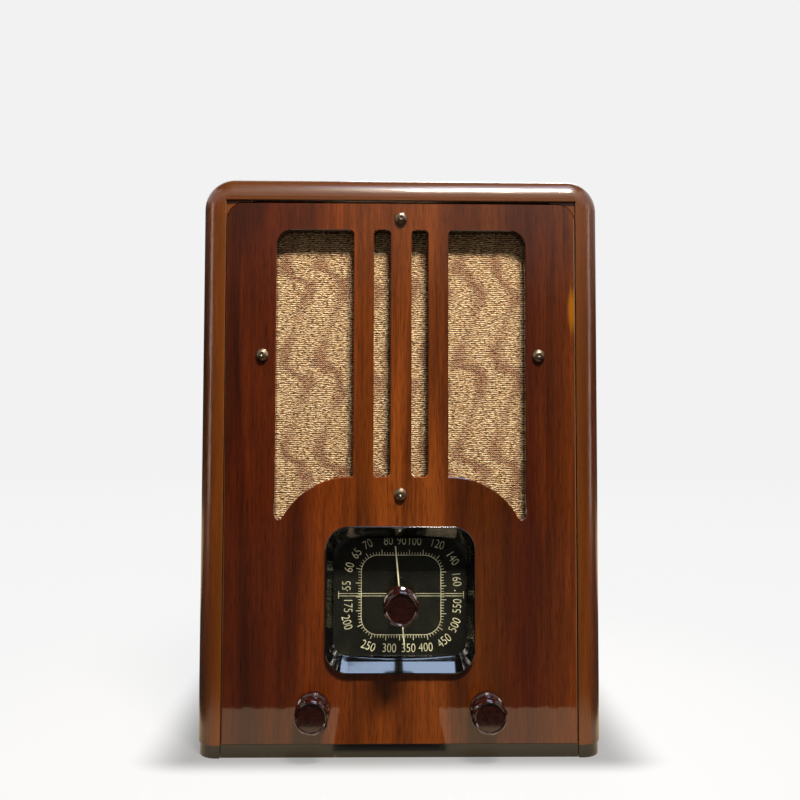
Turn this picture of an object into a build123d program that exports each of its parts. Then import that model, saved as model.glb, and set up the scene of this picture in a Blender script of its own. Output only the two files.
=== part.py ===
from build123d import *
import math
import os

# Tombstone table radio, about 1936, open at the back. All sizes are in millimetres.
# The origin is on the table, in the middle of the whole object: +X is to the right
# as seen from the front, +Y goes towards the back and +Z is up. Most places are given
# as a depth, measured backwards from the front edge of the cabinet's rim.

# Cabinet
WIDTH = 283.0
HEIGHT = 406.4
DEPTH = 216.0
BOARD = 17.5
OUTER_CORNER = 22.0
RIM_ROUND = 14.5
RIM_ARRIS = 0.7
PLINTH_HEIGHT = 9.1
PLINTH_INSET = 1.0
PLINTH_CORNER = 13.5
PLINTH_DEPTH = 18.0
SEAM = 0.3

# Front panel
PANEL_THICK = 9.5
PANEL_RECESS = 1.2
PANEL_GAP = 0.5
PANEL_TOP_GAP = 1.4
PANEL_CORNER = 12.7
PANEL_ARRIS = 0.6
CLEAT = 12.0
CLEAT_TOP = 366.0
CORNER_BLOCK_LEG = 18.0

# Grille openings in the panel
OPENING_OUTER_X = 88.2
OPENING_INNER_X = 33.6
OPENING_TOP_Z = 367.9
OPENING_BOTTOM_Z = 193.5
OPENING_OUTER_CORNER = 11.3
OPENING_INNER_CORNER = 3.5
ARCH_CENTRE_X = 35.0
ARCH_RADIUS = 54.2
TIP_RADIUS = 3.0
SLOT_X = 13.35
SLOT_WIDTH = 11.7
SLOT_CORNER = 3.2

# Loudspeaker, an eight inch one
SPEAKER_Z = 279.0
BOLT_CIRCLE = 195.0
BOLT_SHANK = 2.1
BOLT_HEAD = 4.4
BOLT_HEAD_HEIGHT = 3.0
BAFFLE_THICK = 6.0
BAFFLE_HOLE = 84.0
BAFFLE_WIDTH = 216.0
BAFFLE_BOTTOM = 159.0
BAFFLE_TOP = 384.0
CLOTH_THICK = 0.6
CLOTH_WIDTH = 212.0
CLOTH_HEIGHT = 223.0
GASKET_THICK = 3.0
FLANGE_RADIUS = 104.0
BASKET_MOUTH = 86.0
BASKET_BACK = 41.0
BASKET_DEPTH = 51.0
BASKET_SHEET = 1.2
BASKET_WINDOWS = 8
BASKET_WINDOW_REACH = 63.0
CONE_MOUTH = 78.0
COIL_INNER = 12.7
COIL_OUTER = 13.3
POLE_RADIUS = 12.0
POT_RADIUS = 41.0
POT_LENGTH = 60.0
PLATE_THICK = 5.0
SURROUND_THICK = 0.6
ROLL_INNER = 81.0
PAPER = 0.8
SEAT_LENGTH = 8.0

# Dial and its bezel
DIAL_Z = 108.5
BEZEL_WIDTH = 104.2
BEZEL_HEIGHT = 101.4
BEZEL_CORNER = 16.0
BEZEL_PROUD = 1.6
BEZEL_BACK = 10.2
BEVEL_WIDTH = 97.4
BEVEL_HEIGHT = 88.0
BEVEL_CORNER = 12.0
BEVEL_DEPTH = 5.0
WINDOW_WIDTH = 94.0
WINDOW_HEIGHT = 82.4
WINDOW_CORNER = 11.0
WINDOW_DEPTH = 8.6
DIAL_HOLE_WIDTH = 101.2
DIAL_HOLE_HEIGHT = 95.6
DIAL_HOLE_CORNER = 13.5
GLASS_CROWN = 4.6
GLASS_THICK = 1.8
GLASS_BEND = 380.0
GLASS_MARGIN = 1.2
DIAL_DEPTH = 16.0
DIAL_SHEET = 0.8
DIAL_WIDTH = 100.0
DIAL_HEIGHT = 94.0
POINTER_DEPTH = 11.4
POINTER_THICK = 0.4
POINTER_REACH = 35.2
POINTER_WIDTH = 0.9
POINTER_TILT = 5.3
BRACKET_DEPTH = 21.0
BRACKET_HALF_WIDTH = 42.0
BRACKET_TOP = 116.0
LAMP_X = 30.0
LAMP_DEPTH = 29.0
LAMP_CAP = 4.4
LAMP_BULB = 5.2
LAMP_TIP = 134.0
LAMP_HOLDER = 5.6
LAMP_HOLDER_LOW = 92.0
LAMP_HOLDER_TOP = 112.0
SHEET = 1.2

# Knobs
KNOB_LENGTH = 19.5
KNOB_BASE = 11.9
KNOB_WAIST = 10.2
KNOB_FLATS = 22.6
KNOB_RING = 10.6
KNOB_DISH = 9.8
CENTRE_KNOB_FRONT = -30.0
LOWER_KNOB_FRONT = -19.7
LOWER_KNOB_X = 60.0
LOWER_KNOB_Z = 34.4
SHAFT = 3.175
SHAFT_BORE = 3.25

# Ball reduction drive between the tuning knob and the tuning capacitor
BALL_CIRCLE = 6.0
BALL_TRACK = 4.0
BALL_RADIUS = 3.7
BALL_DEPTH = 30.0
BALL_COUNT = 3
RACE_BORE = 8.8
RACE_RADIUS = 14.5
RACE_FLANGE = 19.0
CAGE_RADIUS = 8.4
CAGE_HALF_LENGTH = 5.5
SLEEVE_RADIUS = 4.8
HUB_RADIUS = 7.8

# Two gang tuning capacitor
GANG_FRONT = 48.0
GANG_LENGTH = 62.0
GANG_HALF_WIDTH = 33.0
GANG_RAIL_X = 30.0
STATOR_HALF_WIDTH = 27.0
GANG_PLATE = 1.6
GANG_SHAFT = 4.75
ROTOR_RADIUS = 24.0
ROTOR_HUB = 6.5
VANE = 0.8
VANE_PITCH = 3.2
ROTOR_VANES = 8
GANG_SECTIONS = (53.0, 81.0)

# Chassis
CHASSIS_HALF_WIDTH = 114.0
CHASSIS_FRONT = 32.0
CHASSIS_BACK = 182.0
CHASSIS_BOTTOM = 9.1
DECK = 62.0
CHASSIS_BOLT_X = 104.0
CHASSIS_BOLT_DEPTHS = (42.0, 172.0)
CHASSIS_BOLT_HEAD = 5.5
CHASSIS_BOLT_HEAD_HEIGHT = 3.5
CHASSIS_BOLT_SEAT = 5.0
CHASSIS_BOLT_TOP = 20.0
CHASSIS_FOOT = 20.0
SMALL_TUBES = ((-92.0, 58.0), (-92.0, 108.0), (93.0, 62.0))
LARGE_TUBES = ((-84.0, 157.0), (-34.0, 150.0))
TUBE_BASE = 16.0
TUBE_BASE_HEIGHT = 15.0
TUBE_LIFT = 0.3
SOCKET_RADIUS = 19.0
SOCKET_THICK = 3.0
SOCKET_HOLE = 14.0
PIN_CIRCLE = 8.7
PIN_RADIUS = 1.15
PIN_LENGTH = 9.0
PIN_COUNT = 8
SPIGOT = 3.8
BULB_WALL = 1.0
IF_CANS = ((-53.0, 62.0), (-53.0, 108.0))
CAN_SIDE = 30.0
CAN_HEIGHT = 82.0
COIL_CAN = (54.0, 66.0)
COIL_CAN_RADIUS = 17.0
COIL_CAN_HEIGHT = 70.0
FILTER = (10.0, 152.0)
FILTER_RADIUS = 17.5
FILTER_HEIGHT = 80.0
CORD_HOLE = 4.0
CORD_X = 96.0
CORD_Z = 34.0
GROMMET_WAIST = 5.9
GROMMET_LIP = 8.0
TERMINALS_X = (-20.0, 0.0, 20.0)

# Power transformer
CORE_LEFT = 42.0
CORE_RIGHT = 108.0
CORE_FRONT = 132.0
CORE_BACK = 158.0
CORE_HEIGHT = 60.0
CORE_FEET = 2.0
COVER_REACH = 20.0

# Volume and tone controls
BUSHING = 4.75
BUSHING_LENGTH = 8.0
CONTROL_RADIUS = 13.5
CONTROL_LENGTH = 12.0
CONTROL_NUT = 13.0
CONTROL_NUT_THICK = 2.4

FRONT_Y = -(DEPTH - CENTRE_KNOB_FRONT) / 2 - CENTRE_KNOB_FRONT
PANEL_BACK = PANEL_RECESS + PANEL_THICK
CLOTH_BACK = PANEL_BACK + CLOTH_THICK
BAFFLE_BACK = CLOTH_BACK + BAFFLE_THICK
SURROUND_DEPTH = BAFFLE_BACK + GASKET_THICK
FLANGE_DEPTH = SURROUND_DEPTH + SURROUND_THICK
POLE_PLATE_DEPTH = FLANGE_DEPTH + BASKET_DEPTH + BASKET_SHEET
POT_DEPTH = POLE_PLATE_DEPTH + PLATE_THICK
POT_BACK = POT_DEPTH + POT_LENGTH
INNER_X = WIDTH / 2 - BOARD
UNDER_TOP = HEIGHT - BOARD
SPEAKER_BOLTS = (
    (0.0, SPEAKER_Z + BOLT_CIRCLE / 2),
    (BOLT_CIRCLE / 2, SPEAKER_Z),
    (0.0, SPEAKER_Z - BOLT_CIRCLE / 2),
    (-BOLT_CIRCLE / 2, SPEAKER_Z),
)


# Helpers for shapes seen from the front and for turned shapes

def plate(outline, front, back):
    """An outline drawn as seen from the front, made solid from one depth to another."""
    plane = Plane(origin=(0, FRONT_Y + back, 0), x_dir=(1, 0, 0), z_dir=(0, -1, 0))
    return extrude(plane * outline, amount=back - front)


def rod(x, z, radius, front, back):
    """A round bar that runs front to back."""
    return plate(Pos(x, z) * Circle(radius), front, back)


def block(x_low, x_high, front, back, z_low, z_high):
    """A square-edged block."""
    size = Box(x_high - x_low, back - front, z_high - z_low)
    return Pos((x_low + x_high) / 2, FRONT_Y + (front + back) / 2, (z_low + z_high) / 2) * size


def post(x, depth, radius, z_low, z_high):
    """An upright round bar."""
    return Pos(x, FRONT_Y + depth, (z_low + z_high) / 2) * Cylinder(radius, z_high - z_low)


def turned(profile, x, z):
    """A shape turned about a front-to-back axis. The profile's points are depth and radius."""
    plane = Plane(origin=(x, FRONT_Y, z), x_dir=(0, 1, 0), z_dir=(0, 0, -1))
    face = plane * make_face(Polyline(*profile, close=True))
    return revolve(face, axis=Axis((x, FRONT_Y, z), (0, 1, 0)))


def upright(edges, x, depth):
    """A shape turned about an upright axis. The edges are drawn as radius and height."""
    plane = Plane(origin=(x, FRONT_Y + depth, 0), x_dir=(1, 0, 0), z_dir=(0, -1, 0))
    return revolve(plane * make_face(edges), axis=Axis((x, FRONT_Y + depth, 0), (0, 0, 1)))


def rounded(width, height, radius, x=0.0, z=0.0):
    """A rectangle with round corners, seen from the front."""
    return Pos(x, z) * RectangleRounded(width, height, radius)


def hexagon(x, z, across_flats):
    """A nut's outline, seen from the front."""
    return Pos(x, z) * RegularPolygon(across_flats / math.sqrt(3), 6)


def save(node, *solids):
    """Write one sub-part. Like pieces share one file as separate solids."""
    shape = solids[0] if len(solids) == 1 else Compound(children=list(solids))
    export_step(shape, f"parts/{node}.step")


# Cabinet

def arched_top(half_width, z_low, z_high, radius):
    """An upright rectangle with its two top corners rounded."""
    outline = Pos(0, (z_low + z_high) / 2) * Rectangle(2 * half_width, z_high - z_low)
    return fillet(outline.vertices().group_by(Axis.Y)[-1], radius)


def cabinet_shell():
    """The two sides and the top, still in one, with the rim's rounded front edge."""
    shell = plate(arched_top(WIDTH / 2, PLINTH_HEIGHT, HEIGHT, OUTER_CORNER), 0, DEPTH)
    front_edges = shell.faces().sort_by(Axis.Y)[0].edges().sort_by(Axis.Z)[1:]
    shell = fillet(front_edges, RIM_ROUND)
    shell -= block(-INNER_X, INNER_X, -1, DEPTH + 1, 0, UNDER_TOP)
    inner_edges = [
        edge for edge in shell.edges()
        if abs(edge.center().Y - FRONT_Y) < 0.01
        and (abs(abs(edge.center().X) - INNER_X) < 0.01 or abs(edge.center().Z - UNDER_TOP) < 0.01)
    ]
    return fillet(inner_edges, RIM_ARRIS)


def panel_outline(grow=0.0):
    """The front panel's edge. It stands clear of the cabinet all round."""
    return arched_top(
        INNER_X - PANEL_GAP + grow, PLINTH_HEIGHT, UNDER_TOP - PANEL_TOP_GAP + grow, PANEL_CORNER + grow
    )


def side_opening(side):
    """One of the two wide grille openings: side is 1 for the right-hand one and -1 for the left."""
    arch_z = OPENING_BOTTOM_Z - ARCH_RADIUS
    tip_x = OPENING_OUTER_X - TIP_RADIUS
    reach = ARCH_RADIUS + TIP_RADIUS
    tip_z = arch_z + math.sqrt(reach ** 2 - (tip_x - ARCH_CENTRE_X) ** 2)
    lean = math.atan2(tip_z - arch_z, tip_x - ARCH_CENTRE_X)
    touch = (ARCH_CENTRE_X + ARCH_RADIUS * math.cos(lean), arch_z + ARCH_RADIUS * math.sin(lean))
    middle = (lean + math.pi / 2) / 2
    arch_middle = (ARCH_CENTRE_X + ARCH_RADIUS * math.cos(middle), arch_z + ARCH_RADIUS * math.sin(middle))
    arch_top = (ARCH_CENTRE_X, OPENING_BOTTOM_Z)
    outer_low = (OPENING_OUTER_X, tip_z)
    outer_high = (OPENING_OUTER_X, OPENING_TOP_Z)
    inner_high = (OPENING_INNER_X, OPENING_TOP_Z)
    inner_low = (OPENING_INNER_X, OPENING_BOTTOM_Z)
    tip_low = (tip_x, tip_z - TIP_RADIUS)
    outline = make_face([
        Line(arch_top, inner_low),
        Line(inner_low, inner_high),
        Line(inner_high, outer_high),
        Line(outer_high, outer_low),
        ThreePointArc(outer_low, tip_low, touch),
        ThreePointArc(touch, arch_middle, arch_top),
    ])
    top = outline.vertices().group_by(Axis.Y)[-1].sort_by(Axis.X)
    outline = fillet(top[1], OPENING_OUTER_CORNER)
    top = outline.vertices().group_by(Axis.Y)[-1].sort_by(Axis.X)
    outline = fillet(top[0], OPENING_INNER_CORNER)
    return outline if side > 0 else mirror(outline, Plane.YZ)


def grille_openings():
    """The two wide openings and the two narrow slots between them."""
    height = OPENING_TOP_Z - OPENING_BOTTOM_Z
    middle = (OPENING_TOP_Z + OPENING_BOTTOM_Z) / 2
    slots = [rounded(SLOT_WIDTH, height, SLOT_CORNER, side * SLOT_X, middle) for side in (-1, 1)]
    return [side_opening(-1), side_opening(1)] + slots


def front_panel():
    """Plywood panel with the grille openings, the dial's hole and the holes for bolts and shafts."""
    panel = plate(panel_outline(), PANEL_RECESS, PANEL_BACK)
    for opening in grille_openings():
        panel -= plate(opening, PANEL_RECESS - 1, PANEL_BACK + 1)
    panel = chamfer(panel.faces().sort_by(Axis.Y)[0].edges(), PANEL_ARRIS)
    dial_hole = rounded(DIAL_HOLE_WIDTH, DIAL_HOLE_HEIGHT, DIAL_HOLE_CORNER, 0, DIAL_Z)
    panel -= plate(dial_hole, PANEL_RECESS - 1, PANEL_BACK + 1)
    for x, z in SPEAKER_BOLTS:
        panel -= rod(x, z, BOLT_SHANK + 0.2, PANEL_RECESS - 1, PANEL_BACK + 1)
    for side in (-1, 1):
        panel -= rod(side * LOWER_KNOB_X, LOWER_KNOB_Z, 7.0, PANEL_RECESS - 1, PANEL_BACK + 1)
    return panel


def corner_block(side):
    """A glue block in a top corner. Its front end fills the corner that the panel leaves open."""
    x = side * INNER_X
    along_top = (x - side * CORNER_BLOCK_LEG, UNDER_TOP)
    down_side = (x, UNDER_TOP - CORNER_BLOCK_LEG)
    corner = make_face(Polyline((x, UNDER_TOP), along_top, down_side, close=True))
    solid = plate(corner, PANEL_RECESS + 0.6, DEPTH - BOARD)
    return solid - plate(panel_outline(0.4), PANEL_RECESS - 1, PANEL_BACK + 0.2)


def make_cabinet():
    shell = cabinet_shell()
    save("side_panel_left", shell & block(-WIDTH, -INNER_X, -1, DEPTH + 1, 0, HEIGHT + 1))
    save("side_panel_right", shell & block(INNER_X, WIDTH, -1, DEPTH + 1, 0, HEIGHT + 1))
    save("top_panel", shell & block(-INNER_X, INNER_X, -1, DEPTH + 1, UNDER_TOP - 1, HEIGHT + 1))
    save("corner_blocks", corner_block(-1), corner_block(1))
    save("front_panel", front_panel())
    cleat = block(INNER_X - CLEAT, INNER_X, PANEL_BACK, PANEL_BACK + CLEAT, PLINTH_HEIGHT, CLEAT_TOP)
    save("panel_cleats", cleat, mirror(cleat, Plane.YZ))

    outer_x = WIDTH / 2 - PLINTH_INSET
    side = block(INNER_X + SEAM, outer_x, PLINTH_INSET, DEPTH - PLINTH_INSET, 0, PLINTH_HEIGHT)
    front_corner = side.edges().filter_by(Axis.Z).group_by(Axis.X)[-1].sort_by(Axis.Y)[0]
    side = fillet(front_corner, PLINTH_CORNER)
    save("plinth_sides", side, mirror(side, Plane.YZ))
    front = PANEL_RECESS + PLINTH_INSET
    save("plinth_front", block(-INNER_X, INNER_X, front, front + PLINTH_DEPTH, 0, PLINTH_HEIGHT))

    base = block(-INNER_X, INNER_X, front + PLINTH_DEPTH, DEPTH - PLINTH_INSET, 0, PLINTH_HEIGHT)
    for x, depth in chassis_bolt_places():
        base -= post(x, depth, BOLT_SHANK + 0.4, -1, PLINTH_HEIGHT + 1)
        base -= post(x, depth, CHASSIS_BOLT_HEAD + 1.0, -1, CHASSIS_BOLT_SEAT)
    save("base_board", base)


# Grille and loudspeaker

def bolt_holes(solid, front, back):
    """Drill the loudspeaker's four bolt holes."""
    for x, z in SPEAKER_BOLTS:
        solid -= rod(x, z, BOLT_SHANK + 0.2, front - 1, back + 1)
    return solid


def speaker_bolt(x, z):
    """A round-headed bolt with a small dimple in its head. Its head shows on the panel."""
    head_front = PANEL_RECESS - BOLT_HEAD_HEIGHT
    shank_end = FLANGE_DEPTH + 10.0
    return turned([
        (head_front + 0.7, 0),
        (head_front, 1.0),
        (head_front, 1.9),
        (head_front + 0.5, 3.1),
        (head_front + 1.3, 3.95),
        (head_front + 2.2, BOLT_HEAD),
        (PANEL_RECESS, BOLT_HEAD),
        (PANEL_RECESS, BOLT_SHANK),
        (shank_end, BOLT_SHANK),
        (shank_end, 0),
    ], x, z)


def speaker_basket():
    """A pressed steel frame: a flange, a cone-shaped wall with windows, and a flat back."""
    back = FLANGE_DEPTH + BASKET_DEPTH
    ledge = back - SEAT_LENGTH
    basket = turned([
        (FLANGE_DEPTH, BASKET_MOUTH - BASKET_SHEET),
        (FLANGE_DEPTH, FLANGE_RADIUS),
        (FLANGE_DEPTH + BASKET_SHEET, FLANGE_RADIUS),
        (FLANGE_DEPTH + BASKET_SHEET, BASKET_MOUTH + BASKET_SHEET),
        (ledge, BASKET_BACK + BASKET_SHEET),
        (back + BASKET_SHEET, BASKET_BACK),
        (back + BASKET_SHEET, COIL_OUTER + 2.0),
        (back, COIL_OUTER + 2.0),
        (back, BASKET_BACK - BASKET_SHEET),
        (ledge, BASKET_BACK - BASKET_SHEET),
        (ledge, BASKET_BACK - 5.0),
        (ledge - BASKET_SHEET, BASKET_BACK - 5.0),
        (ledge - BASKET_SHEET, BASKET_BACK),
        (FLANGE_DEPTH + BASKET_SHEET, BASKET_MOUTH - BASKET_SHEET),
    ], 0, SPEAKER_Z)
    window_front = FLANGE_DEPTH + 7.0
    window_back = ledge - 9.0
    for index in range(BASKET_WINDOWS):
        turn = 360 / BASKET_WINDOWS * (index + 0.5)
        window = Rot(0, 0, turn) * Pos(0, BASKET_WINDOW_REACH) * RectangleRounded(28, 36, 6)
        basket -= plate(Pos(0, SPEAKER_Z) * window, window_front, window_back)
    return bolt_holes(basket, FLANGE_DEPTH, FLANGE_DEPTH + BASKET_SHEET)


def ripple(inner, outer, depth, thick, waves, height):
    """A thin corrugated ring. Its waves stand forward of the given depth."""
    steps = 8 * waves
    radii = [inner + (outer - inner) * step / steps for step in range(steps + 1)]
    wave = [height * (1 - math.cos(2 * math.pi * waves * step / steps)) / 2 for step in range(steps + 1)]
    front = [(depth - lift, radius) for radius, lift in zip(radii, wave)]
    back = [(depth + thick - lift, radius) for radius, lift in zip(radii, wave)]
    return turned(front + back[::-1], 0, SPEAKER_Z)


def make_speaker():
    middle = (BAFFLE_BOTTOM + BAFFLE_TOP) / 2
    cloth = plate(Pos(0, middle) * Rectangle(CLOTH_WIDTH, CLOTH_HEIGHT), PANEL_BACK, CLOTH_BACK)
    save("grille_cloth", bolt_holes(cloth, PANEL_BACK, CLOTH_BACK))
    sheet = Pos(0, middle) * Rectangle(BAFFLE_WIDTH, BAFFLE_TOP - BAFFLE_BOTTOM)
    baffle = plate(sheet, CLOTH_BACK, BAFFLE_BACK)
    baffle -= rod(0, SPEAKER_Z, BAFFLE_HOLE, CLOTH_BACK - 1, BAFFLE_BACK + 1)
    save("baffle_board", bolt_holes(baffle, CLOTH_BACK, BAFFLE_BACK))

    gasket = rod(0, SPEAKER_Z, FLANGE_RADIUS - 1.0, BAFFLE_BACK, SURROUND_DEPTH)
    gasket -= rod(0, SPEAKER_Z, BASKET_MOUTH + 1.0, BAFFLE_BACK - 1, SURROUND_DEPTH + 1)
    save("speaker_gasket", bolt_holes(gasket, BAFFLE_BACK, SURROUND_DEPTH))
    save("speaker_basket", speaker_basket())

    flat = [
        turned([
            (SURROUND_DEPTH, inner),
            (SURROUND_DEPTH, outer),
            (FLANGE_DEPTH, outer),
            (FLANGE_DEPTH, inner),
        ], 0, SPEAKER_Z)
        for inner, outer in ((CONE_MOUTH - 1.0, ROLL_INNER), (BASKET_MOUTH, BASKET_MOUTH + 6.0))
    ]
    roll = ripple(ROLL_INNER, BASKET_MOUTH, SURROUND_DEPTH, SURROUND_THICK, 1, 1.8)
    save("cone_surround", roll + flat)

    cone_front = FLANGE_DEPTH + 0.3
    neck = FLANGE_DEPTH + BASKET_DEPTH - 14.0
    save("speaker_cone", turned([
        (cone_front, ROLL_INNER - 0.5),
        (cone_front + PAPER, ROLL_INNER - 0.5),
        (cone_front + PAPER, CONE_MOUTH),
        (neck + PAPER, COIL_OUTER + 1.0),
        (neck + 4.0, COIL_OUTER + 1.0),
        (neck + 4.0, COIL_OUTER + 0.05),
        (neck, COIL_OUTER + 0.05),
        (cone_front, CONE_MOUTH - 1.0),
    ], 0, SPEAKER_Z))
    save("voice_coil", turned([
        (neck - 1.0, COIL_INNER),
        (neck - 1.0, COIL_OUTER),
        (POLE_PLATE_DEPTH + PLATE_THICK, COIL_OUTER),
        (POLE_PLATE_DEPTH + PLATE_THICK, COIL_INNER),
    ], 0, SPEAKER_Z))
    spider_depth = FLANGE_DEPTH + BASKET_DEPTH - SEAT_LENGTH - BASKET_SHEET - 0.5
    save("cone_spider", ripple(COIL_OUTER + 1.4, BASKET_BACK - 1.0, spider_depth, 0.5, 4, 1.2))

    pole_plate = rod(0, SPEAKER_Z, POT_RADIUS, POLE_PLATE_DEPTH, POT_DEPTH)
    pole_plate -= rod(0, SPEAKER_Z, COIL_OUTER + 0.7, POLE_PLATE_DEPTH - 1, POT_DEPTH + 1)
    save("pole_plate", pole_plate)
    pot = rod(0, SPEAKER_Z, POT_RADIUS, POT_DEPTH, POT_BACK)
    pot -= rod(0, SPEAKER_Z, POT_RADIUS - 4.0, POT_DEPTH - 1, POT_BACK - 5.0)
    save("field_pot", pot)
    save("pole_piece", rod(0, SPEAKER_Z, POLE_RADIUS, POLE_PLATE_DEPTH, POT_BACK - 5.0))
    coil = rod(0, SPEAKER_Z, POT_RADIUS - 5.5, POT_DEPTH + 3.0, POT_BACK - 7.0)
    coil -= rod(0, SPEAKER_Z, COIL_OUTER + 2.5, POT_DEPTH, POT_BACK)
    save("field_coil", coil)

    save("speaker_bolts", *[speaker_bolt(x, z) for x, z in SPEAKER_BOLTS])
    nut_front = FLANGE_DEPTH + BASKET_SHEET
    nuts = [
        plate(hexagon(x, z, 8.0), nut_front, nut_front + 3.4)
        - rod(x, z, BOLT_SHANK + 0.05, nut_front - 1, nut_front + 5)
        for x, z in SPEAKER_BOLTS
    ]
    save("speaker_nuts", *nuts)
    make_output_transformer()


def make_output_transformer():
    """The small transformer on top of the loudspeaker's pot, its core held in a folded strap."""
    saddle_low = SPEAKER_Z + POT_RADIUS
    middle = (POT_DEPTH + POT_BACK) / 2
    low = saddle_low + 4.0
    core = block(-24, 24, middle - 9, middle + 9, low, low + 40)
    for side in (-1, 1):
        core -= block(side * 12 - 5, side * 12 + 5, middle - 10, middle + 10, low + 8, low + 32)
    strap = block(-26, 26, middle - 11, middle + 11, saddle_low - 6.0, low)
    strap -= rod(0, SPEAKER_Z, POT_RADIUS + 0.05, middle - 12, middle + 12)
    save("output_transformer", core + strap)
    coil = block(-16.6, 16.6, middle - 18, middle + 18, low + 8.3, low + 31.7)
    coil = fillet(coil.edges().filter_by(Axis.Z), 5)
    coil -= block(-7.2, 7.2, middle - 9.2, middle + 9.2, low, low + 40)
    save("output_transformer_coil", coil)


# Dial, bezel and pointer

def bezel():
    """The moulded dial frame: a lip on the panel, a wide bevel and a steep inner one, and a sleeve."""
    lip = plate(rounded(BEZEL_WIDTH, BEZEL_HEIGHT, BEZEL_CORNER, 0, DIAL_Z), -BEZEL_PROUD, PANEL_RECESS)
    lip = fillet(lip.faces().sort_by(Axis.Y)[0].edges(), 0.6)
    sleeve = rounded(DIAL_HOLE_WIDTH - 0.8, DIAL_HOLE_HEIGHT - 0.8, DIAL_HOLE_CORNER - 0.5, 0, DIAL_Z)
    frame = lip + plate(sleeve, PANEL_RECESS, BEZEL_BACK)
    lip_edge = (BEZEL_WIDTH - 1.8, BEZEL_HEIGHT - 1.8, BEZEL_CORNER - 0.9, -BEZEL_PROUD)
    bevel_edge = (BEVEL_WIDTH, BEVEL_HEIGHT, BEVEL_CORNER, BEVEL_DEPTH)
    window_edge = (WINDOW_WIDTH, WINDOW_HEIGHT, WINDOW_CORNER, WINDOW_DEPTH)
    frame -= tapered_hole(lip_edge, bevel_edge)
    frame -= tapered_hole(bevel_edge, window_edge)
    reach = GLASS_MARGIN + 0.3
    seat = rounded(WINDOW_WIDTH + 2 * reach, WINDOW_HEIGHT + 2 * reach, WINDOW_CORNER + reach, 0, DIAL_Z)
    return frame - plate(seat, WINDOW_DEPTH, BEZEL_BACK + 1)


def tapered_hole(front, back):
    """The space between two rounded rectangles, each given as width, height, corner radius and depth."""
    faces = []
    for width, height, radius, depth in (front, back):
        plane = Plane(origin=(0, FRONT_Y + depth, 0), x_dir=(1, 0, 0), z_dir=(0, -1, 0))
        faces.append(plane * rounded(width, height, radius, 0, DIAL_Z))
    return loft(faces)


def dial_glass():
    """The domed glass, with a flat edge that sits in the back of the bezel."""
    centre = Pos(0, FRONT_Y + GLASS_CROWN + GLASS_BEND, DIAL_Z)
    window = rounded(WINDOW_WIDTH - 0.8, WINDOW_HEIGHT - 0.8, WINDOW_CORNER - 0.4, 0, DIAL_Z)
    dome = plate(window, 0, BEZEL_BACK) & centre * Sphere(GLASS_BEND)
    width = WINDOW_WIDTH + 2 * GLASS_MARGIN
    height = WINDOW_HEIGHT + 2 * GLASS_MARGIN
    seat = rounded(width, height, WINDOW_CORNER + GLASS_MARGIN, 0, DIAL_Z)
    edge = plate(seat, WINDOW_DEPTH, BEZEL_BACK)
    glass = dome + edge - centre * Sphere(GLASS_BEND - GLASS_THICK)
    return glass - rod(0, DIAL_Z, 5.0, 0, BEZEL_BACK + 1)


def dial_pointer():
    """A thin double-ended hand on the drive's sleeve."""
    hand = Rectangle(POINTER_WIDTH, 2 * POINTER_REACH) + Circle(6.4) - Circle(SLEEVE_RADIUS + 0.05)
    hand = Rot(0, 0, POINTER_TILT) * hand
    return plate(Pos(0, DIAL_Z) * hand, POINTER_DEPTH, POINTER_DEPTH + POINTER_THICK)


def make_dial():
    save("dial_bezel", bezel())
    save("dial_glass", dial_glass())
    dial_back = DIAL_DEPTH + DIAL_SHEET
    dial = plate(rounded(DIAL_WIDTH, DIAL_HEIGHT, 8.0, 0, DIAL_Z), DIAL_DEPTH, dial_back)
    save("dial_plate", dial - rod(0, DIAL_Z, 6.0, DIAL_DEPTH - 1, dial_back + 1))
    save("dial_pointer", dial_pointer())

    plate_back = BRACKET_DEPTH + SHEET
    bracket = block(-BRACKET_HALF_WIDTH, BRACKET_HALF_WIDTH, BRACKET_DEPTH, plate_back, DECK, BRACKET_TOP)
    bracket += block(-LAMP_X, LAMP_X, BRACKET_DEPTH, GANG_FRONT - 3.0, DECK, DECK + SHEET)
    bracket -= rod(0, DIAL_Z, RACE_BORE, BRACKET_DEPTH - 1, plate_back + 1)
    for x in (-37, 37):
        for z in (72, 104):
            bracket += rod(x, z, 2.5, dial_back, BRACKET_DEPTH)
    save("dial_bracket", bracket)
    save("dial_lamps", dial_lamp(-LAMP_X), dial_lamp(LAMP_X))
    save("lamp_sockets", lamp_socket(-LAMP_X, plate_back), lamp_socket(LAMP_X, plate_back))


def dial_lamp(x):
    """A small bulb: a straight cap and a wider round-ended glass."""
    low = LAMP_HOLDER_LOW + 9.0
    wide = low + 19.0
    round_start = LAMP_TIP - LAMP_BULB
    halfway = LAMP_BULB * math.sqrt(0.5)
    return upright([
        Line((0, low), (LAMP_CAP, low)),
        Line((LAMP_CAP, low), (LAMP_CAP, wide - 4.0)),
        Line((LAMP_CAP, wide - 4.0), (LAMP_BULB, wide)),
        Line((LAMP_BULB, wide), (LAMP_BULB, round_start)),
        ThreePointArc((LAMP_BULB, round_start), (halfway, round_start + halfway), (0, LAMP_TIP)),
        Line((0, LAMP_TIP), (0, low)),
    ], x, LAMP_DEPTH)


def lamp_socket(x, plate_back):
    """A cup that holds one lamp, with a tab to the dial bracket."""
    cup = post(x, LAMP_DEPTH, LAMP_HOLDER, LAMP_HOLDER_LOW, LAMP_HOLDER_TOP)
    cup -= post(x, LAMP_DEPTH, LAMP_CAP + 0.3, LAMP_HOLDER_LOW + 8.0, LAMP_HOLDER_TOP + 1)
    tab = block(x - 3, x + 3, plate_back, LAMP_DEPTH - 4.9, LAMP_HOLDER_LOW + 2.0, LAMP_HOLDER_LOW + 12.0)
    return cup + tab


# Knobs and drive

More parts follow.
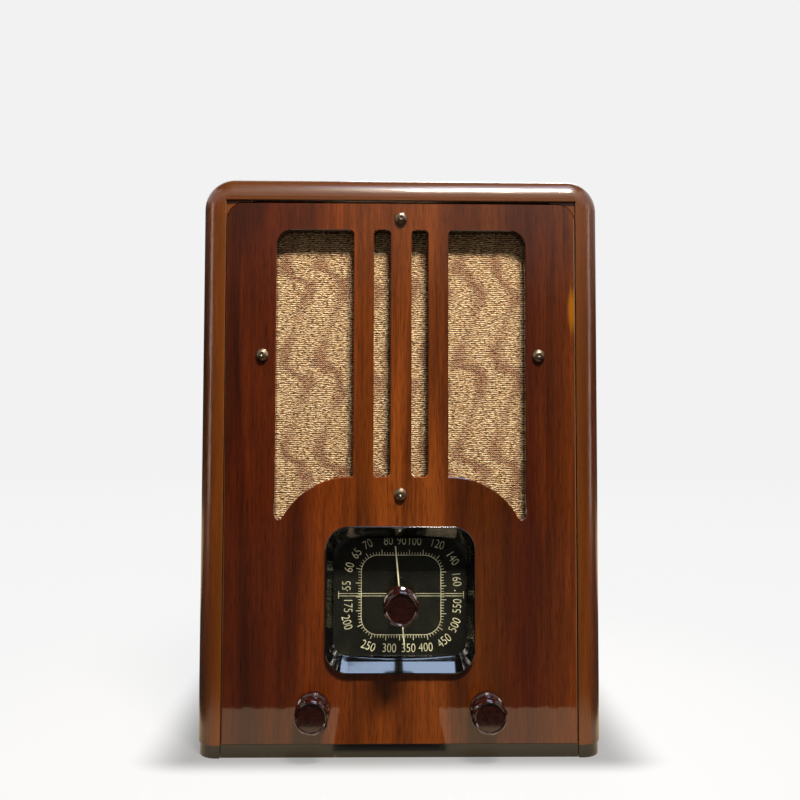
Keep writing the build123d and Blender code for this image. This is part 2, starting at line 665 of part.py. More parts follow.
def knob(x, z, front):
    """A moulded knob: round base, tapered body, eight-sided front flange and a dished round face."""
    back = front + KNOB_LENGTH
    body = turned([
        (front + 1.2, 0),
        (front + 1.2, KNOB_DISH - 0.6),
        (front + 0.3, KNOB_DISH),
        (front, KNOB_DISH + 0.4),
        (front, KNOB_RING - 0.3),
        (front + 0.4, KNOB_RING),
        (front + 1.4, KNOB_RING + 0.3),
        (front + 5.4, KNOB_RING + 0.3),
        (back - 6.2, KNOB_WAIST),
        (back - 5.2, KNOB_WAIST + 0.3),
        (back - 4.4, KNOB_BASE - 0.4),
        (back - 3.6, KNOB_BASE),
        (back - 0.6, KNOB_BASE),
        (back, KNOB_BASE - 0.6),
        (back, 0),
    ], x, z)
    octagon = Pos(x, z) * Rot(0, 0, 22.5 - 9.0) * RegularPolygon(KNOB_FLATS / 2 / math.cos(math.pi / 8), 8)
    flange = plate(octagon, front + 1.0, front + 5.2)
    flange &= turned([
        (front + 1.0, 0),
        (front + 1.0, KNOB_RING + 0.2),
        (front + 2.6, KNOB_FLATS / 2 + 1.0),
        (front + 3.8, KNOB_FLATS / 2 + 1.0),
        (front + 5.2, KNOB_RING + 0.4),
        (front + 5.2, 0),
    ], x, z)
    return body + flange - rod(x, z, SHAFT + 0.02, front + 4.0, back + 1)


def tuning_shaft():
    """The knob's shaft, with a groove that the drive's balls roll in."""
    shaft = rod(0, DIAL_Z, SHAFT, CENTRE_KNOB_FRONT + 5.0, 38.0)
    return shaft - ball_track()


def ball_track():
    """The ring-shaped space that the balls sweep."""
    return Pos(0, FRONT_Y + BALL_DEPTH, DIAL_Z) * Rot(90, 0, 0) * Torus(BALL_CIRCLE, BALL_TRACK)


def ball(index, radius):
    """One ball of the drive."""
    angle = 2 * math.pi * index / BALL_COUNT
    return Pos(
        BALL_CIRCLE * math.sin(angle), FRONT_Y + BALL_DEPTH, DIAL_Z + BALL_CIRCLE * math.cos(angle)
    ) * Sphere(radius)


def drive_carrier():
    """The drive's output: a sleeve for the pointer, a cage for the balls and a hub for the capacitor."""
    cage_front = BALL_DEPTH - CAGE_HALF_LENGTH
    cage_back = BALL_DEPTH + CAGE_HALF_LENGTH
    carrier = turned([
        (POINTER_DEPTH - 0.6, SHAFT_BORE),
        (POINTER_DEPTH - 0.6, SLEEVE_RADIUS),
        (cage_front, SLEEVE_RADIUS),
        (cage_front, CAGE_RADIUS),
        (cage_back, CAGE_RADIUS),
        (cage_back, HUB_RADIUS),
        (GANG_FRONT - 1.6, HUB_RADIUS),
        (GANG_FRONT - 1.6, GANG_SHAFT + 0.03),
        (BALL_DEPTH + 7.0, GANG_SHAFT + 0.03),
        (BALL_DEPTH + 7.0, SHAFT_BORE),
    ], 0, DIAL_Z)
    for index in range(BALL_COUNT):
        carrier -= ball(index, BALL_TRACK)
    return carrier


def drive_body():
    """The fixed outer race, riveted to the back of the dial bracket."""
    flange_front = BRACKET_DEPTH + SHEET
    body = turned([
        (flange_front, RACE_BORE),
        (flange_front, RACE_FLANGE),
        (flange_front + 1.6, RACE_FLANGE),
        (flange_front + 1.6, RACE_RADIUS),
        (BALL_DEPTH + 6.0, RACE_RADIUS),
        (BALL_DEPTH + 6.0, RACE_BORE),
    ], 0, DIAL_Z)
    return body - ball_track()


def make_drive():
    save("tuning_knob", knob(0, DIAL_Z, CENTRE_KNOB_FRONT))
    save("tuning_shaft", tuning_shaft())
    save("drive_body", drive_body())
    save("drive_balls", *[ball(index, BALL_RADIUS) for index in range(BALL_COUNT)])
    save("drive_carrier", drive_carrier())


# Tuning capacitor

def gang_frame():
    """A folded steel frame: two end plates on a base, with a rail along each side and one on top."""
    back = GANG_FRONT + GANG_LENGTH
    top = DIAL_Z + ROTOR_RADIUS + 4.0
    frame = block(-GANG_HALF_WIDTH, GANG_HALF_WIDTH, GANG_FRONT, back, DECK, DECK + GANG_PLATE)
    for front in (GANG_FRONT, back - GANG_PLATE):
        end = block(-GANG_HALF_WIDTH, GANG_HALF_WIDTH, front, front + GANG_PLATE, DECK, top)
        frame += end - rod(0, DIAL_Z, GANG_SHAFT + 0.08, front - 1, front + GANG_PLATE + 1)
    for side in (-1, 1):
        low, high = sorted((side * GANG_RAIL_X, side * GANG_HALF_WIDTH))
        frame += block(low, high, GANG_FRONT, back, DIAL_Z - 18.5, DIAL_Z - 9.5)
    return frame + block(-6, 6, GANG_FRONT, back, top - 2.0, top)


def gang_rotor():
    """The capacitor's shaft with its half-round vanes. The pointer's tilt and the vanes turn together."""
    rotor = rod(0, DIAL_Z, GANG_SHAFT, 40.0, GANG_FRONT + GANG_LENGTH + 3.0)
    half = Circle(ROTOR_RADIUS) & (Pos(0, -ROTOR_RADIUS / 2) * Rectangle(2 * ROTOR_RADIUS, ROTOR_RADIUS))
    vane = half + Circle(ROTOR_HUB)
    vane = Pos(0, DIAL_Z) * Rot(0, 0, POINTER_TILT - 90) * vane
    for front in GANG_SECTIONS:
        for index in range(ROTOR_VANES):
            start = front + index * VANE_PITCH
            rotor += plate(vane, start, start + VANE)
    return rotor


def stator(front):
    """The fixed vanes of one section, soldered to two bars."""
    outline = Pos(0, -14.5) * Rectangle(2 * STATOR_HALF_WIDTH, 27) - Circle(ROTOR_HUB + 1.2)
    outline = Pos(0, DIAL_Z) * outline
    vanes = []
    for index in range(ROTOR_VANES - 1):
        start = front + VANE_PITCH / 2 + index * VANE_PITCH
        vanes.append(plate(outline, start, start + VANE))
    length = (ROTOR_VANES - 1) * VANE_PITCH
    bars = [rod(x, DIAL_Z - 24.5, 1.3, front + 1.0, front + length) for x in (-24.5, 24.5)]
    return vanes[0] + vanes[1:] + bars


def make_gang():
    save("gang_frame", gang_frame())
    save("gang_rotor", gang_rotor())
    save("gang_stators", *[stator(front) for front in GANG_SECTIONS])
    insulators = []
    for front in GANG_SECTIONS:
        middle = front + (ROTOR_VANES - 1) * VANE_PITCH / 2
        for side in (-1, 1):
            low, high = sorted((side * STATOR_HALF_WIDTH, side * GANG_RAIL_X))
            insulators.append(block(low, high, middle - 9, middle + 9, DIAL_Z - 18.0, DIAL_Z - 10.0))
    save("stator_insulators", *insulators)


# Chassis

def chassis_bolt_places():
    """The four bolts that hold the chassis to the base board."""
    return [(x, depth) for x in (-CHASSIS_BOLT_X, CHASSIS_BOLT_X) for depth in CHASSIS_BOLT_DEPTHS]


def chassis_pan():
    """A folded steel pan, open below, with a foot in each corner."""
    pan = block(-CHASSIS_HALF_WIDTH, CHASSIS_HALF_WIDTH, CHASSIS_FRONT, CHASSIS_BACK, CHASSIS_BOTTOM, DECK)
    pan -= block(-CHASSIS_HALF_WIDTH + SHEET, CHASSIS_HALF_WIDTH - SHEET, CHASSIS_FRONT + SHEET,
                 CHASSIS_BACK - SHEET, CHASSIS_BOTTOM - 1, DECK - SHEET)
    for x, depth in chassis_bolt_places():
        half = CHASSIS_FOOT / 2
        pan += block(x - half, x + half, depth - half, depth + half, CHASSIS_BOTTOM, CHASSIS_BOTTOM + SHEET)
        pan -= post(x, depth, BOLT_SHANK + 0.05, CHASSIS_BOTTOM - 1, CHASSIS_BOTTOM + 2)
    for x, depth in SMALL_TUBES + LARGE_TUBES:
        pan -= post(x, depth, SOCKET_HOLE, DECK - 3, DECK + 1)
    for side in (-1, 1):
        pan -= rod(side * LOWER_KNOB_X, LOWER_KNOB_Z, BUSHING + 0.15, CHASSIS_FRONT - 1, CHASSIS_FRONT + 2)
    return pan - rod(CORD_X, CORD_Z, GROMMET_WAIST + 0.1, CHASSIS_BACK - 3, CHASSIS_BACK + 1)


def pin_places(x, depth):
    """Where a valve's pins stand, evenly round its axis."""
    angles = [2 * math.pi * (index + 0.5) / PIN_COUNT for index in range(PIN_COUNT)]
    return [(x + PIN_CIRCLE * math.cos(angle), depth + PIN_CIRCLE * math.sin(angle)) for angle in angles]


def tube_base(x, depth):
    """A moulded octal base with eight pins round a centre spigot."""
    low = DECK + TUBE_LIFT
    base = post(x, depth, TUBE_BASE, low, low + TUBE_BASE_HEIGHT)
    base = chamfer(base.faces().sort_by(Axis.Z)[0].edges(), 1.0)
    base += post(x, depth, SPIGOT, low - PIN_LENGTH - 1.0, low)
    for pin_x, pin_depth in pin_places(x, depth):
        base += post(pin_x, pin_depth, PIN_RADIUS, low - PIN_LENGTH, low)
    return base


def tube_socket(x, depth):
    """A wafer socket under the deck, with a hole for each pin and for the spigot."""
    top = DECK - SHEET
    low = top - SOCKET_THICK
    socket = post(x, depth, SOCKET_RADIUS, low, top) - post(x, depth, SPIGOT + 0.2, low - 1, top + 1)
    for pin_x, pin_depth in pin_places(x, depth):
        socket -= post(pin_x, pin_depth, PIN_RADIUS + 0.15, low - 1, top + 1)
    return socket


def tube_glass(x, depth, body, height):
    """A valve's bulb: a round shoulder on a narrow neck, with a smaller dome on top."""
    low = DECK + TUBE_LIFT + TUBE_BASE_HEIGHT
    neck = TUBE_BASE - 2.0
    dome = body * 0.66
    wide = low + height * 0.42
    step = low + height * 0.66
    top = low + height

    def outline(shrink):
        return [
            Line((neck - shrink, low), (neck - shrink, low + 2.0)),
            ThreePointArc(
                (neck - shrink, low + 2.0),
                ((neck + body) / 2 + 1.6 - shrink, low + 2.0 + (wide - low) * 0.45),
                (body - shrink, wide),
            ),
            ThreePointArc(
                (body - shrink, wide),
                ((body + dome) / 2 + 1.4 - shrink, (wide + step) / 2 + 1.0),
                (dome - shrink, step),
            ),
            Line((dome - shrink, step), (dome - shrink, top - dome)),
            ThreePointArc(
                (dome - shrink, top - dome),
                ((dome - shrink) * math.sqrt(0.5), top - dome + (dome - shrink) * math.sqrt(0.5)),
                (0, top - shrink),
            ),
        ]

    outer = outline(0.0) + [Line((0, top), (0, low)), Line((0, low), (neck, low))]
    inner_top = top - BULB_WALL
    inner = outline(BULB_WALL) + [Line((0, inner_top), (0, low)), Line((0, low), (neck - BULB_WALL, low))]
    return upright(outer, x, depth) - upright(inner, x, depth)


def make_valves():
    everything = SMALL_TUBES + LARGE_TUBES
    save("tube_sockets", *[tube_socket(x, depth) for x, depth in everything])
    save("tube_bases", *[tube_base(x, depth) for x, depth in everything])
    save("small_tubes", *[tube_glass(x, depth, 19.5, 84.0) for x, depth in SMALL_TUBES])
    save("large_tubes", *[tube_glass(x, depth, 22.5, 96.0) for x, depth in LARGE_TUBES])


def make_cans():
    top = DECK + CAN_HEIGHT
    half = CAN_SIDE / 2
    cans = []
    for x, depth in IF_CANS:
        can = block(x - half, x + half, depth - half, depth + half, DECK, top)
        can = fillet(can.edges().filter_by(Axis.Z), 3)
        can = fillet(can.faces().sort_by(Axis.Z)[-1].edges(), 1.5)
        for offset in (-6, 6):
            can -= post(x, depth + offset, 2.5, top - 4, top + 1)
        cans.append(can)
    save("if_cans", *cans)
    coil_can = post(*COIL_CAN, COIL_CAN_RADIUS, DECK, DECK + COIL_CAN_HEIGHT)
    save("aerial_coil_can", fillet(coil_can.faces().sort_by(Axis.Z)[-1].edges(), 2.5))
    smoothing = post(*FILTER, FILTER_RADIUS, DECK, DECK + FILTER_HEIGHT)
    smoothing = fillet(smoothing.faces().sort_by(Axis.Z)[-1].edges(), 3)
    save("filter_capacitor", smoothing + post(*FILTER, FILTER_RADIUS + 2.5, DECK, DECK + 2.5))


def make_power_transformer():
    """A stack of laminations on folded feet, with a pressed cover over each end of the winding."""
    low = DECK + CORE_FEET
    high = low + CORE_HEIGHT
    core = block(CORE_LEFT, CORE_RIGHT, CORE_FRONT, CORE_BACK, low, high)
    for x in (CORE_LEFT + 5, CORE_RIGHT - 5):
        for z in (low + 5, high - 5):
            core -= rod(x, z, 2.0, CORE_FRONT - 1, CORE_BACK + 1)
    feet = block(CORE_LEFT, CORE_RIGHT, CORE_FRONT, CORE_BACK, DECK, low)
    save("power_transformer", core + feet)
    left = CORE_LEFT + 9
    right = CORE_RIGHT - 9
    front_cover = block(left, right, CORE_FRONT - COVER_REACH, CORE_FRONT, low + 4, high - 4)
    front_cover = fillet(front_cover.faces().sort_by(Axis.Y)[0].edges(), 7)
    back_cover = block(left, right, CORE_BACK, CORE_BACK + COVER_REACH, low + 4, high - 4)
    back_cover = fillet(back_cover.faces().sort_by(Axis.Y)[-1].edges(), 7)
    save("transformer_covers", front_cover, back_cover)


def make_controls():
    shells = []
    nuts = []
    inside = CHASSIS_FRONT + SHEET
    end = inside + CONTROL_LENGTH
    for side, name in ((-1, "volume"), (1, "tone")):
        x = side * LOWER_KNOB_X
        shell = turned([
            (inside - BUSHING_LENGTH, SHAFT_BORE),
            (inside - BUSHING_LENGTH, BUSHING),
            (inside, BUSHING),
            (inside, CONTROL_RADIUS),
            (end - 1.0, CONTROL_RADIUS),
            (end, CONTROL_RADIUS - 1.0),
            (end, 0),
            (end - 3.0, 0),
            (end - 3.0, SHAFT_BORE),
        ], x, LOWER_KNOB_Z)
        shells.append(shell)
        nut = plate(hexagon(x, LOWER_KNOB_Z, CONTROL_NUT), CHASSIS_FRONT - CONTROL_NUT_THICK, CHASSIS_FRONT)
        nuts.append(nut - rod(x, LOWER_KNOB_Z, BUSHING + 0.05, CHASSIS_FRONT - 4, CHASSIS_FRONT + 1))
        save(f"{name}_knob", knob(x, LOWER_KNOB_Z, LOWER_KNOB_FRONT))
        save(f"{name}_shaft", rod(x, LOWER_KNOB_Z, SHAFT, LOWER_KNOB_FRONT + 5.0, end - 4.0))
    save("control_bodies", *shells)
    save("control_nuts", *nuts)


def make_chassis():
    save("chassis_pan", chassis_pan())
    head_low = CHASSIS_BOLT_SEAT - CHASSIS_BOLT_HEAD_HEIGHT
    save("chassis_bolts", *[
        post(x, depth, CHASSIS_BOLT_HEAD, head_low, CHASSIS_BOLT_SEAT)
        + post(x, depth, BOLT_SHANK, CHASSIS_BOLT_SEAT, CHASSIS_BOLT_TOP)
        for x, depth in chassis_bolt_places()
    ])
    edge = CHASSIS_BACK - SHEET
    save("cord_grommet", turned([
        (edge - 2.0, CORD_HOLE),
        (edge - 2.0, GROMMET_LIP),
        (edge, GROMMET_LIP),
        (edge, GROMMET_WAIST),
        (CHASSIS_BACK, GROMMET_WAIST),
        (CHASSIS_BACK, GROMMET_LIP),
        (CHASSIS_BACK + 2.0, GROMMET_LIP),
        (CHASSIS_BACK + 2.0, CORD_HOLE),
    ], CORD_X, CORD_Z))
    strip = block(-30, 30, CHASSIS_BACK, CHASSIS_BACK + 2.0, 28, 44)
    for x in TERMINALS_X:
        strip += rod(x, 36, 3.6, CHASSIS_BACK + 2.0, CHASSIS_BACK + 5.0)
    save("aerial_terminals", strip)


os.makedirs("parts", exist_ok=True)
make_cabinet()
make_speaker()
make_dial()
make_drive()
make_gang()
make_chassis()
make_controls()
make_valves()
make_cans()
make_power_transformer()
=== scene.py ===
import math
import bmesh
import bpy
from mathutils import Matrix, Vector


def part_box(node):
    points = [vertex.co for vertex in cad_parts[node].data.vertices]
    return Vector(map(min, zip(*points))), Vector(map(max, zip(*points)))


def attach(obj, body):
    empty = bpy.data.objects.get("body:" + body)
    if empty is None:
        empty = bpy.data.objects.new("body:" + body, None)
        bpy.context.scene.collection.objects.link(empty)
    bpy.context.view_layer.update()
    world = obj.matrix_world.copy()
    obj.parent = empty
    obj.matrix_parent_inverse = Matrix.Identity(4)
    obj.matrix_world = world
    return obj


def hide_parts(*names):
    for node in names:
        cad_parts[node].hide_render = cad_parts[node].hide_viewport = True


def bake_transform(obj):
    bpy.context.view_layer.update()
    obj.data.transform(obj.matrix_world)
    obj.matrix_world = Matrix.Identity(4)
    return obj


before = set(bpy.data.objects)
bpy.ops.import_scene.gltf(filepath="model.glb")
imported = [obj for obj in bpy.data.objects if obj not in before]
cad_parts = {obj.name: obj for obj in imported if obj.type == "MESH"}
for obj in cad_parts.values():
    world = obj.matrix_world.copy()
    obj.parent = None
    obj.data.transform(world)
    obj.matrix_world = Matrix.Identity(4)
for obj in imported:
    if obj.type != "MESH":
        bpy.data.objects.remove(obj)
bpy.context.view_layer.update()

MM = 0.001


# Cabinet sides and top
# Plywood faced with walnut veneer, bent round at the front edge and sprayed with clear
# lacquer. The grain runs up the sides and across the top. Inside, the wood is left bare.

RIM_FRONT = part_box("side_panel_left")[0][1]
CABINET_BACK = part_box("side_panel_left")[1][1]
INNER_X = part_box("side_panel_right")[0][0]
UNDER_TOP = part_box("top_panel")[0][2]
FACTOR, A, B, MIXED = 0, 6, 7, 2  # the sockets of a colour Mix node


def linear(code):
    """A colour written as sRGB hex, in the linear values that a shader takes."""
    values = [int(code[place:place + 2], 16) / 255 for place in (1, 3, 5)]
    return [v / 12.92 if v <= 0.04045 else ((v + 0.055) / 1.055) ** 2.4 for v in values] + [1.0]


def add(tree, kind, settings=None, links=None):
    """Adds a node. Settings are its properties and free inputs, and links join inputs to other outputs."""
    made = tree.nodes.new(kind)
    for name, value in (settings or {}).items():
        if name == "stops":
            ramp = made.color_ramp.elements
            while len(ramp) < len(value):
                ramp.new(0.5)
            for stop, (place, colour) in zip(ramp, value):
                stop.position = place
                stop.color = linear(colour)
        elif isinstance(name, int) or name in made.inputs:
            made.inputs[name].default_value = value
        else:
            setattr(made, name, value)
    for name, socket in (links or {}).items():
        tree.links.new(socket, made.inputs[name])
    return made


def finish(name, values):
    """A new material with its shader's values. Returns the material, its tree and the shader."""
    material = bpy.data.materials.new(name)
    material.use_nodes = True
    tree = material.node_tree
    shader = tree.nodes["Principled BSDF"]
    for socket, value in values.items():
        shader.inputs[socket].default_value = value
    return material, tree, shader


def dress(material, *nodes):
    """Gives CAD pieces their material."""
    for node in nodes:
        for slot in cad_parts[node].material_slots:
            slot.material = material


def wood_grain(tree, place, shift):
    """The broad zones, the fine lines and the dark streaks of sliced wood, each from 0 to 1. The grain
    runs along the Z axis of place, and shift says which part of the log it comes from."""
    found = []
    for size_mm, times_longer, detail, bend in ((24.0, 14, 2.0, 0.7), (1.5, 26, 3.0, 0.2), (6.0, 34, 2.0, 0.5)):
        grain = add(tree, "ShaderNodeMapping", {"Location": shift, "Scale": (1.0, 1.0, 1 / times_longer)},
                    {"Vector": place})
        found.append(add(tree, "ShaderNodeTexNoise", {
            "Scale": 1 / (size_mm * MM), "Detail": detail, "Distortion": bend,
        }, {"Vector": grain.outputs[0]}).outputs["Fac"])
    return found


def bent_sheet(tree):
    """Places on the shell, laid flat: how far outwards, how far back, and how far along the sheet from
    the middle of the top, over a corner and down a side. The veneer's grain runs along the sheet."""
    centre_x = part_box("side_panel_right")[1][0] - BEND
    centre_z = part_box("top_panel")[1][2] - BEND
    place = add(tree, "ShaderNodeSeparateXYZ", None, {0: add(tree, "ShaderNodeTexCoord").outputs["Object"]})
    aside = add(tree, "ShaderNodeMath", {"operation": "ABSOLUTE"}, {0: place.outputs["X"]}).outputs[0]
    past_x = add(tree, "ShaderNodeMath", {"operation": "SUBTRACT", 1: centre_x}, {0: aside}).outputs[0]
    past_z = add(tree, "ShaderNodeMath", {"operation": "SUBTRACT", 1: centre_z}, {0: place.outputs["Z"]}).outputs[0]
    out_x = add(tree, "ShaderNodeMath", {"operation": "MAXIMUM", 1: 0.0}, {0: past_x}).outputs[0]
    out_z = add(tree, "ShaderNodeMath", {"operation": "MAXIMUM", 1: 0.0}, {0: past_z}).outputs[0]
    outwards = add(tree, "ShaderNodeCombineXYZ", None, {0: out_x, 1: out_z}).outputs[0]
    outwards = add(tree, "ShaderNodeVectorMath", {"operation": "LENGTH"}, {0: outwards}).outputs["Value"]
    # along the bend, the angle from straight up counts as length at the outer face
    turned = add(tree, "ShaderNodeMath", {"operation": "ARCTAN2"}, {0: out_x, 1: out_z}).outputs[0]
    arc = add(tree, "ShaderNodeMath", {"operation": "MULTIPLY", 1: BEND}, {0: turned}).outputs[0]
    top = add(tree, "ShaderNodeMath", {"operation": "MINIMUM", 1: centre_x}, {0: aside}).outputs[0]
    down = add(tree, "ShaderNodeMath", {"operation": "MINIMUM", 1: 0.0}, {0: past_z}).outputs[0]
    along = add(tree, "ShaderNodeMath", {"operation": "ADD"}, {0: top, 1: arc}).outputs[0]
    along = add(tree, "ShaderNodeMath", {"operation": "SUBTRACT"}, {0: along, 1: down}).outputs[0]
    side = add(tree, "ShaderNodeMath", {"operation": "SIGN"}, {0: place.outputs["X"]}).outputs[0]
    along = add(tree, "ShaderNodeMath", {"operation": "MULTIPLY"}, {0: along, 1: side}).outputs[0]
    return add(tree, "ShaderNodeCombineXYZ", None, {0: outwards, 1: place.outputs["Y"], 2: along}).outputs[0]


def lacquered_walnut(name, tones, shift, bare_behind, bent=False):
    """Stained walnut veneer in clear gloss lacquer, which fills the pores and sinks a little with the
    grain. The tones are four, for zones from dark to light. Behind bare_behind the piece is bare plywood,
    and a bent piece, one of the shell's, is bare inside as well."""
    material, tree, shader = finish(name, {
        "IOR": 1.45, "Specular IOR Level": 0.1, "Coat IOR": 1.5, "Coat Roughness": 0.24 if bent else 0.05,
    })
    here = add(tree, "ShaderNodeTexCoord").outputs["Object"]
    place = add(tree, "ShaderNodeSeparateXYZ", None, {0: here})
    aside = add(tree, "ShaderNodeMath", {"operation": "ABSOLUTE"}, {0: place.outputs["X"]}).outputs[0]
    zones, lines, streaks = wood_grain(tree, bent_sheet(tree) if bent else here, shift)
    wood = add(tree, "ShaderNodeValToRGB", {
        "stops": [(place, tone) for place, tone in zip((0.34, 0.46, 0.56, 0.68), tones)],
    }, {0: zones}).outputs[0]
    fine = add(tree, "ShaderNodeMapRange", {"From Min": 0.3, "From Max": 0.7, "To Min": 0.76, "To Max": 1.2},
               {0: lines})
    wood = add(tree, "ShaderNodeVectorMath", {"operation": "SCALE"}, {0: wood, "Scale": fine.outputs[0]}).outputs[0]
    # the pores show as short dark dashes along the grain
    pores = add(tree, "ShaderNodeMapping", {"Scale": (1.0, 1.0, 1 / PORE_LONGER)},
                {"Vector": bent_sheet(tree) if bent else here})
    pores = add(tree, "ShaderNodeTexNoise", {"Scale": 1 / PORE, "Detail": 1.0}, {"Vector": pores.outputs[0]})
    pores = add(tree, "ShaderNodeMapRange", {"From Min": 0.5, "From Max": 0.72, "To Min": 1.06, "To Max": 0.6},
                {0: pores.outputs["Fac"]})
    wood = add(tree, "ShaderNodeVectorMath", {"operation": "SCALE"}, {0: wood, "Scale": pores.outputs[0]}).outputs[0]
    dark = add(tree, "ShaderNodeMapRange", {"From Min": 0.60, "From Max": 0.76, "To Max": 0.6}, {0: streaks})
    wood = add(tree, "ShaderNodeMix", {"data_type": "RGBA", "blend_type": "MULTIPLY", B: linear("#7a5444")},
               {FACTOR: dark.outputs[0], A: wood}).outputs[MIXED]
    if bent:
        # the veneer is paler along the rim's inner edge
        paleness = add(tree, "ShaderNodeMapRange", {
            "From Min": INNER_X + 1 * MM, "From Max": INNER_X + 11 * MM, "To Min": 0.55, "To Max": 0.0,
        }, {0: aside})
        wood = add(tree, "ShaderNodeMix", {"data_type": "RGBA", B: linear("#703c02")},
                   {FACTOR: paleness.outputs[0], A: wood}).outputs[MIXED]
        # painted shade: the top is darkened, down to half its tone near its highest face, so that it is no brighter
        # than the sides under the lamps above
        top_shade = add(tree, "ShaderNodeMapRange", {
            "From Min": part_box("top_panel")[1][2] - BEND, "From Max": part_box("top_panel")[1][2] - 8 * MM,
            "To Min": 1.0, "To Max": 0.5,
        }, {0: place.outputs["Z"]}).outputs[0]
        wood = add(tree, "ShaderNodeVectorMath", {"operation": "SCALE"}, {0: wood, "Scale": top_shade}).outputs[0]
    else:
        # the middle leaves of the veneer are paler, and one streak of sapwood stands to their right
        leaves = add(tree, "ShaderNodeMapRange", {"From Min": -0.13, "From Max": 0.13}, {0: place.outputs["X"]})
        leaves = add(tree, "ShaderNodeMath", {"operation": "MULTIPLY_ADD", 1: 0.05},
                     {0: zones, 2: leaves.outputs[0]})
        leaves = add(tree, "ShaderNodeValToRGB", {"stops": PANEL_LEAVES}, {0: leaves.outputs[0]}).outputs[0]
        leaves = add(tree, "ShaderNodeVectorMath", {"operation": "SCALE", "Scale": LEAF_GAIN}, {0: leaves})
        wood = add(tree, "ShaderNodeVectorMath", {"operation": "MULTIPLY"}, {0: wood, 1: leaves.outputs[0]}).outputs[0]
        # a pale amber patch by the right edge
        patch = add(tree, "ShaderNodeVectorMath", {"operation": "SUBTRACT", 1: PALE_PATCH_PLACE}, {0: here}).outputs[0]
        patch = add(tree, "ShaderNodeVectorMath", {"operation": "MULTIPLY", 1: PALE_PATCH_SPREAD}, {0: patch}).outputs[0]
        patch = add(tree, "ShaderNodeVectorMath", {"operation": "LENGTH"}, {0: patch}).outputs["Value"]
        patch = add(tree, "ShaderNodeMath", {"operation": "SUBTRACT"}, {0: patch, 1: lines})
        pale_patch = add(tree, "ShaderNodeMapRange", {"From Min": 0.55, "From Max": -0.1, "To Max": 0.75},
                   {0: patch.outputs[0]})
        wood = add(tree, "ShaderNodeMix", {"data_type": "RGBA", B: linear("#9c6004")},
                   {FACTOR: pale_patch.outputs[0], A: wood}).outputs[MIXED]
        # a pale line along the panel's upright edges: chipped veneer, and a painted highlight on the arris
        edge = add(tree, "ShaderNodeMath", {"operation": "MULTIPLY_ADD", 1: CHIP_AND_HIGHLIGHT_WANDER}, {0: streaks, 2: aside})
        chips_and_highlight = add(tree, "ShaderNodeMapRange", {
            "From Min": PANEL_EDGE + 0.5 * CHIP_AND_HIGHLIGHT_WANDER - CHIP_AND_HIGHLIGHT_WIDTH, "From Max": PANEL_EDGE + 0.5 * CHIP_AND_HIGHLIGHT_WANDER,
            "To Max": 0.75,
        }, {0: edge.outputs[0]})
        wood = add(tree, "ShaderNodeMix", {"data_type": "RGBA", B: linear("#a98d6c")},
                   {FACTOR: chips_and_highlight.outputs[0], A: wood}).outputs[MIXED]
        # faces that don't look straight forward, the sawn edges, are darkened almost to black
        faces = add(tree, "ShaderNodeNewGeometry").outputs["Normal"]
        front = add(tree, "ShaderNodeSeparateXYZ", None, {0: faces}).outputs["Y"]
        sawn = add(tree, "ShaderNodeMapRange", {"From Min": -0.75, "From Max": -0.3, "To Max": 0.85}, {0: front})
        wood = add(tree, "ShaderNodeMix", {"data_type": "RGBA", B: linear("#120904")},
                   {FACTOR: sawn.outputs[0], A: wood}).outputs[MIXED]

    bare = add(tree, "ShaderNodeMath", {"operation": "GREATER_THAN", 1: bare_behind},
               {0: place.outputs["Y"]}).outputs[0]
    if bent:
        within = add(tree, "ShaderNodeMath", {"operation": "LESS_THAN", 1: INNER_X + 0.05 * MM}, {0: aside})
        below = add(tree, "ShaderNodeMath", {"operation": "LESS_THAN", 1: UNDER_TOP + 0.05 * MM},
                    {0: place.outputs["Z"]})
        inside = add(tree, "ShaderNodeMath", {"operation": "MULTIPLY"}, {0: within.outputs[0], 1: below.outputs[0]})
        past_rim = add(tree, "ShaderNodeMath", {"operation": "GREATER_THAN", 1: RIM_FRONT + 4 * MM},
                       {0: place.outputs["Y"]})
        inside = add(tree, "ShaderNodeMath", {"operation": "MULTIPLY"},
                     {0: inside.outputs[0], 1: past_rim.outputs[0]}).outputs[0]
        bare = add(tree, "ShaderNodeMath", {"operation": "MAXIMUM"}, {0: inside, 1: bare}).outputs[0]
    plywood = add(tree, "ShaderNodeValToRGB", {"stops": [(0.35, "#6d4a2a"), (0.62, "#a67c4d")]}, {0: lines})
    colour = add(tree, "ShaderNodeMix", {"data_type": "RGBA"}, {FACTOR: bare, A: wood, B: plywood.outputs[0]})
    tree.links.new(colour.outputs[MIXED], shader.inputs["Base Color"])
    rough = add(tree, "ShaderNodeMapRange", {"To Min": 0.5, "To Max": 0.8}, {0: bare})
    tree.links.new(rough.outputs[0], shader.inputs["Roughness"])
    coat = add(tree, "ShaderNodeMath", {"operation": "SUBTRACT", 0: 1.0}, {1: bare})
    tree.links.new(coat.outputs[0], shader.inputs["Coat Weight"])
    relief = add(tree, "ShaderNodeBump", {"Strength": 0.15, "Distance": 0.05 * MM}, {"Height": lines})
    tree.links.new(relief.outputs[0], shader.inputs["Normal"])
    if bent:
        # round the rim the lacquer was rubbed along its length
        along = add(tree, "ShaderNodeMapping", {"Scale": (1.0, 1.0, 1 / RUB_LONGER)}, {"Vector": bent_sheet(tree)})
        flow = add(tree, "ShaderNodeTexNoise", {"Scale": 1 / RUB, "Detail": 3.0}, {"Vector": along.outputs[0]})
    else:
        flow = add(tree, "ShaderNodeTexNoise", {"Scale": 1 / (9 * MM), "Detail": 3.0}, {"Vector": here})
    height = add(tree, "ShaderNodeMath", {"operation": "MULTIPLY_ADD", 1: 0.4}, {0: lines, 2: flow.outputs["Fac"]})
    swell = add(tree, "ShaderNodeBump", {"Strength": 0.4 if bent else 0.22, "Distance": 0.3 * MM}, {"Height": height.outputs[0]})
    tree.links.new(swell.outputs[0], shader.inputs["Coat Normal"])
    return material


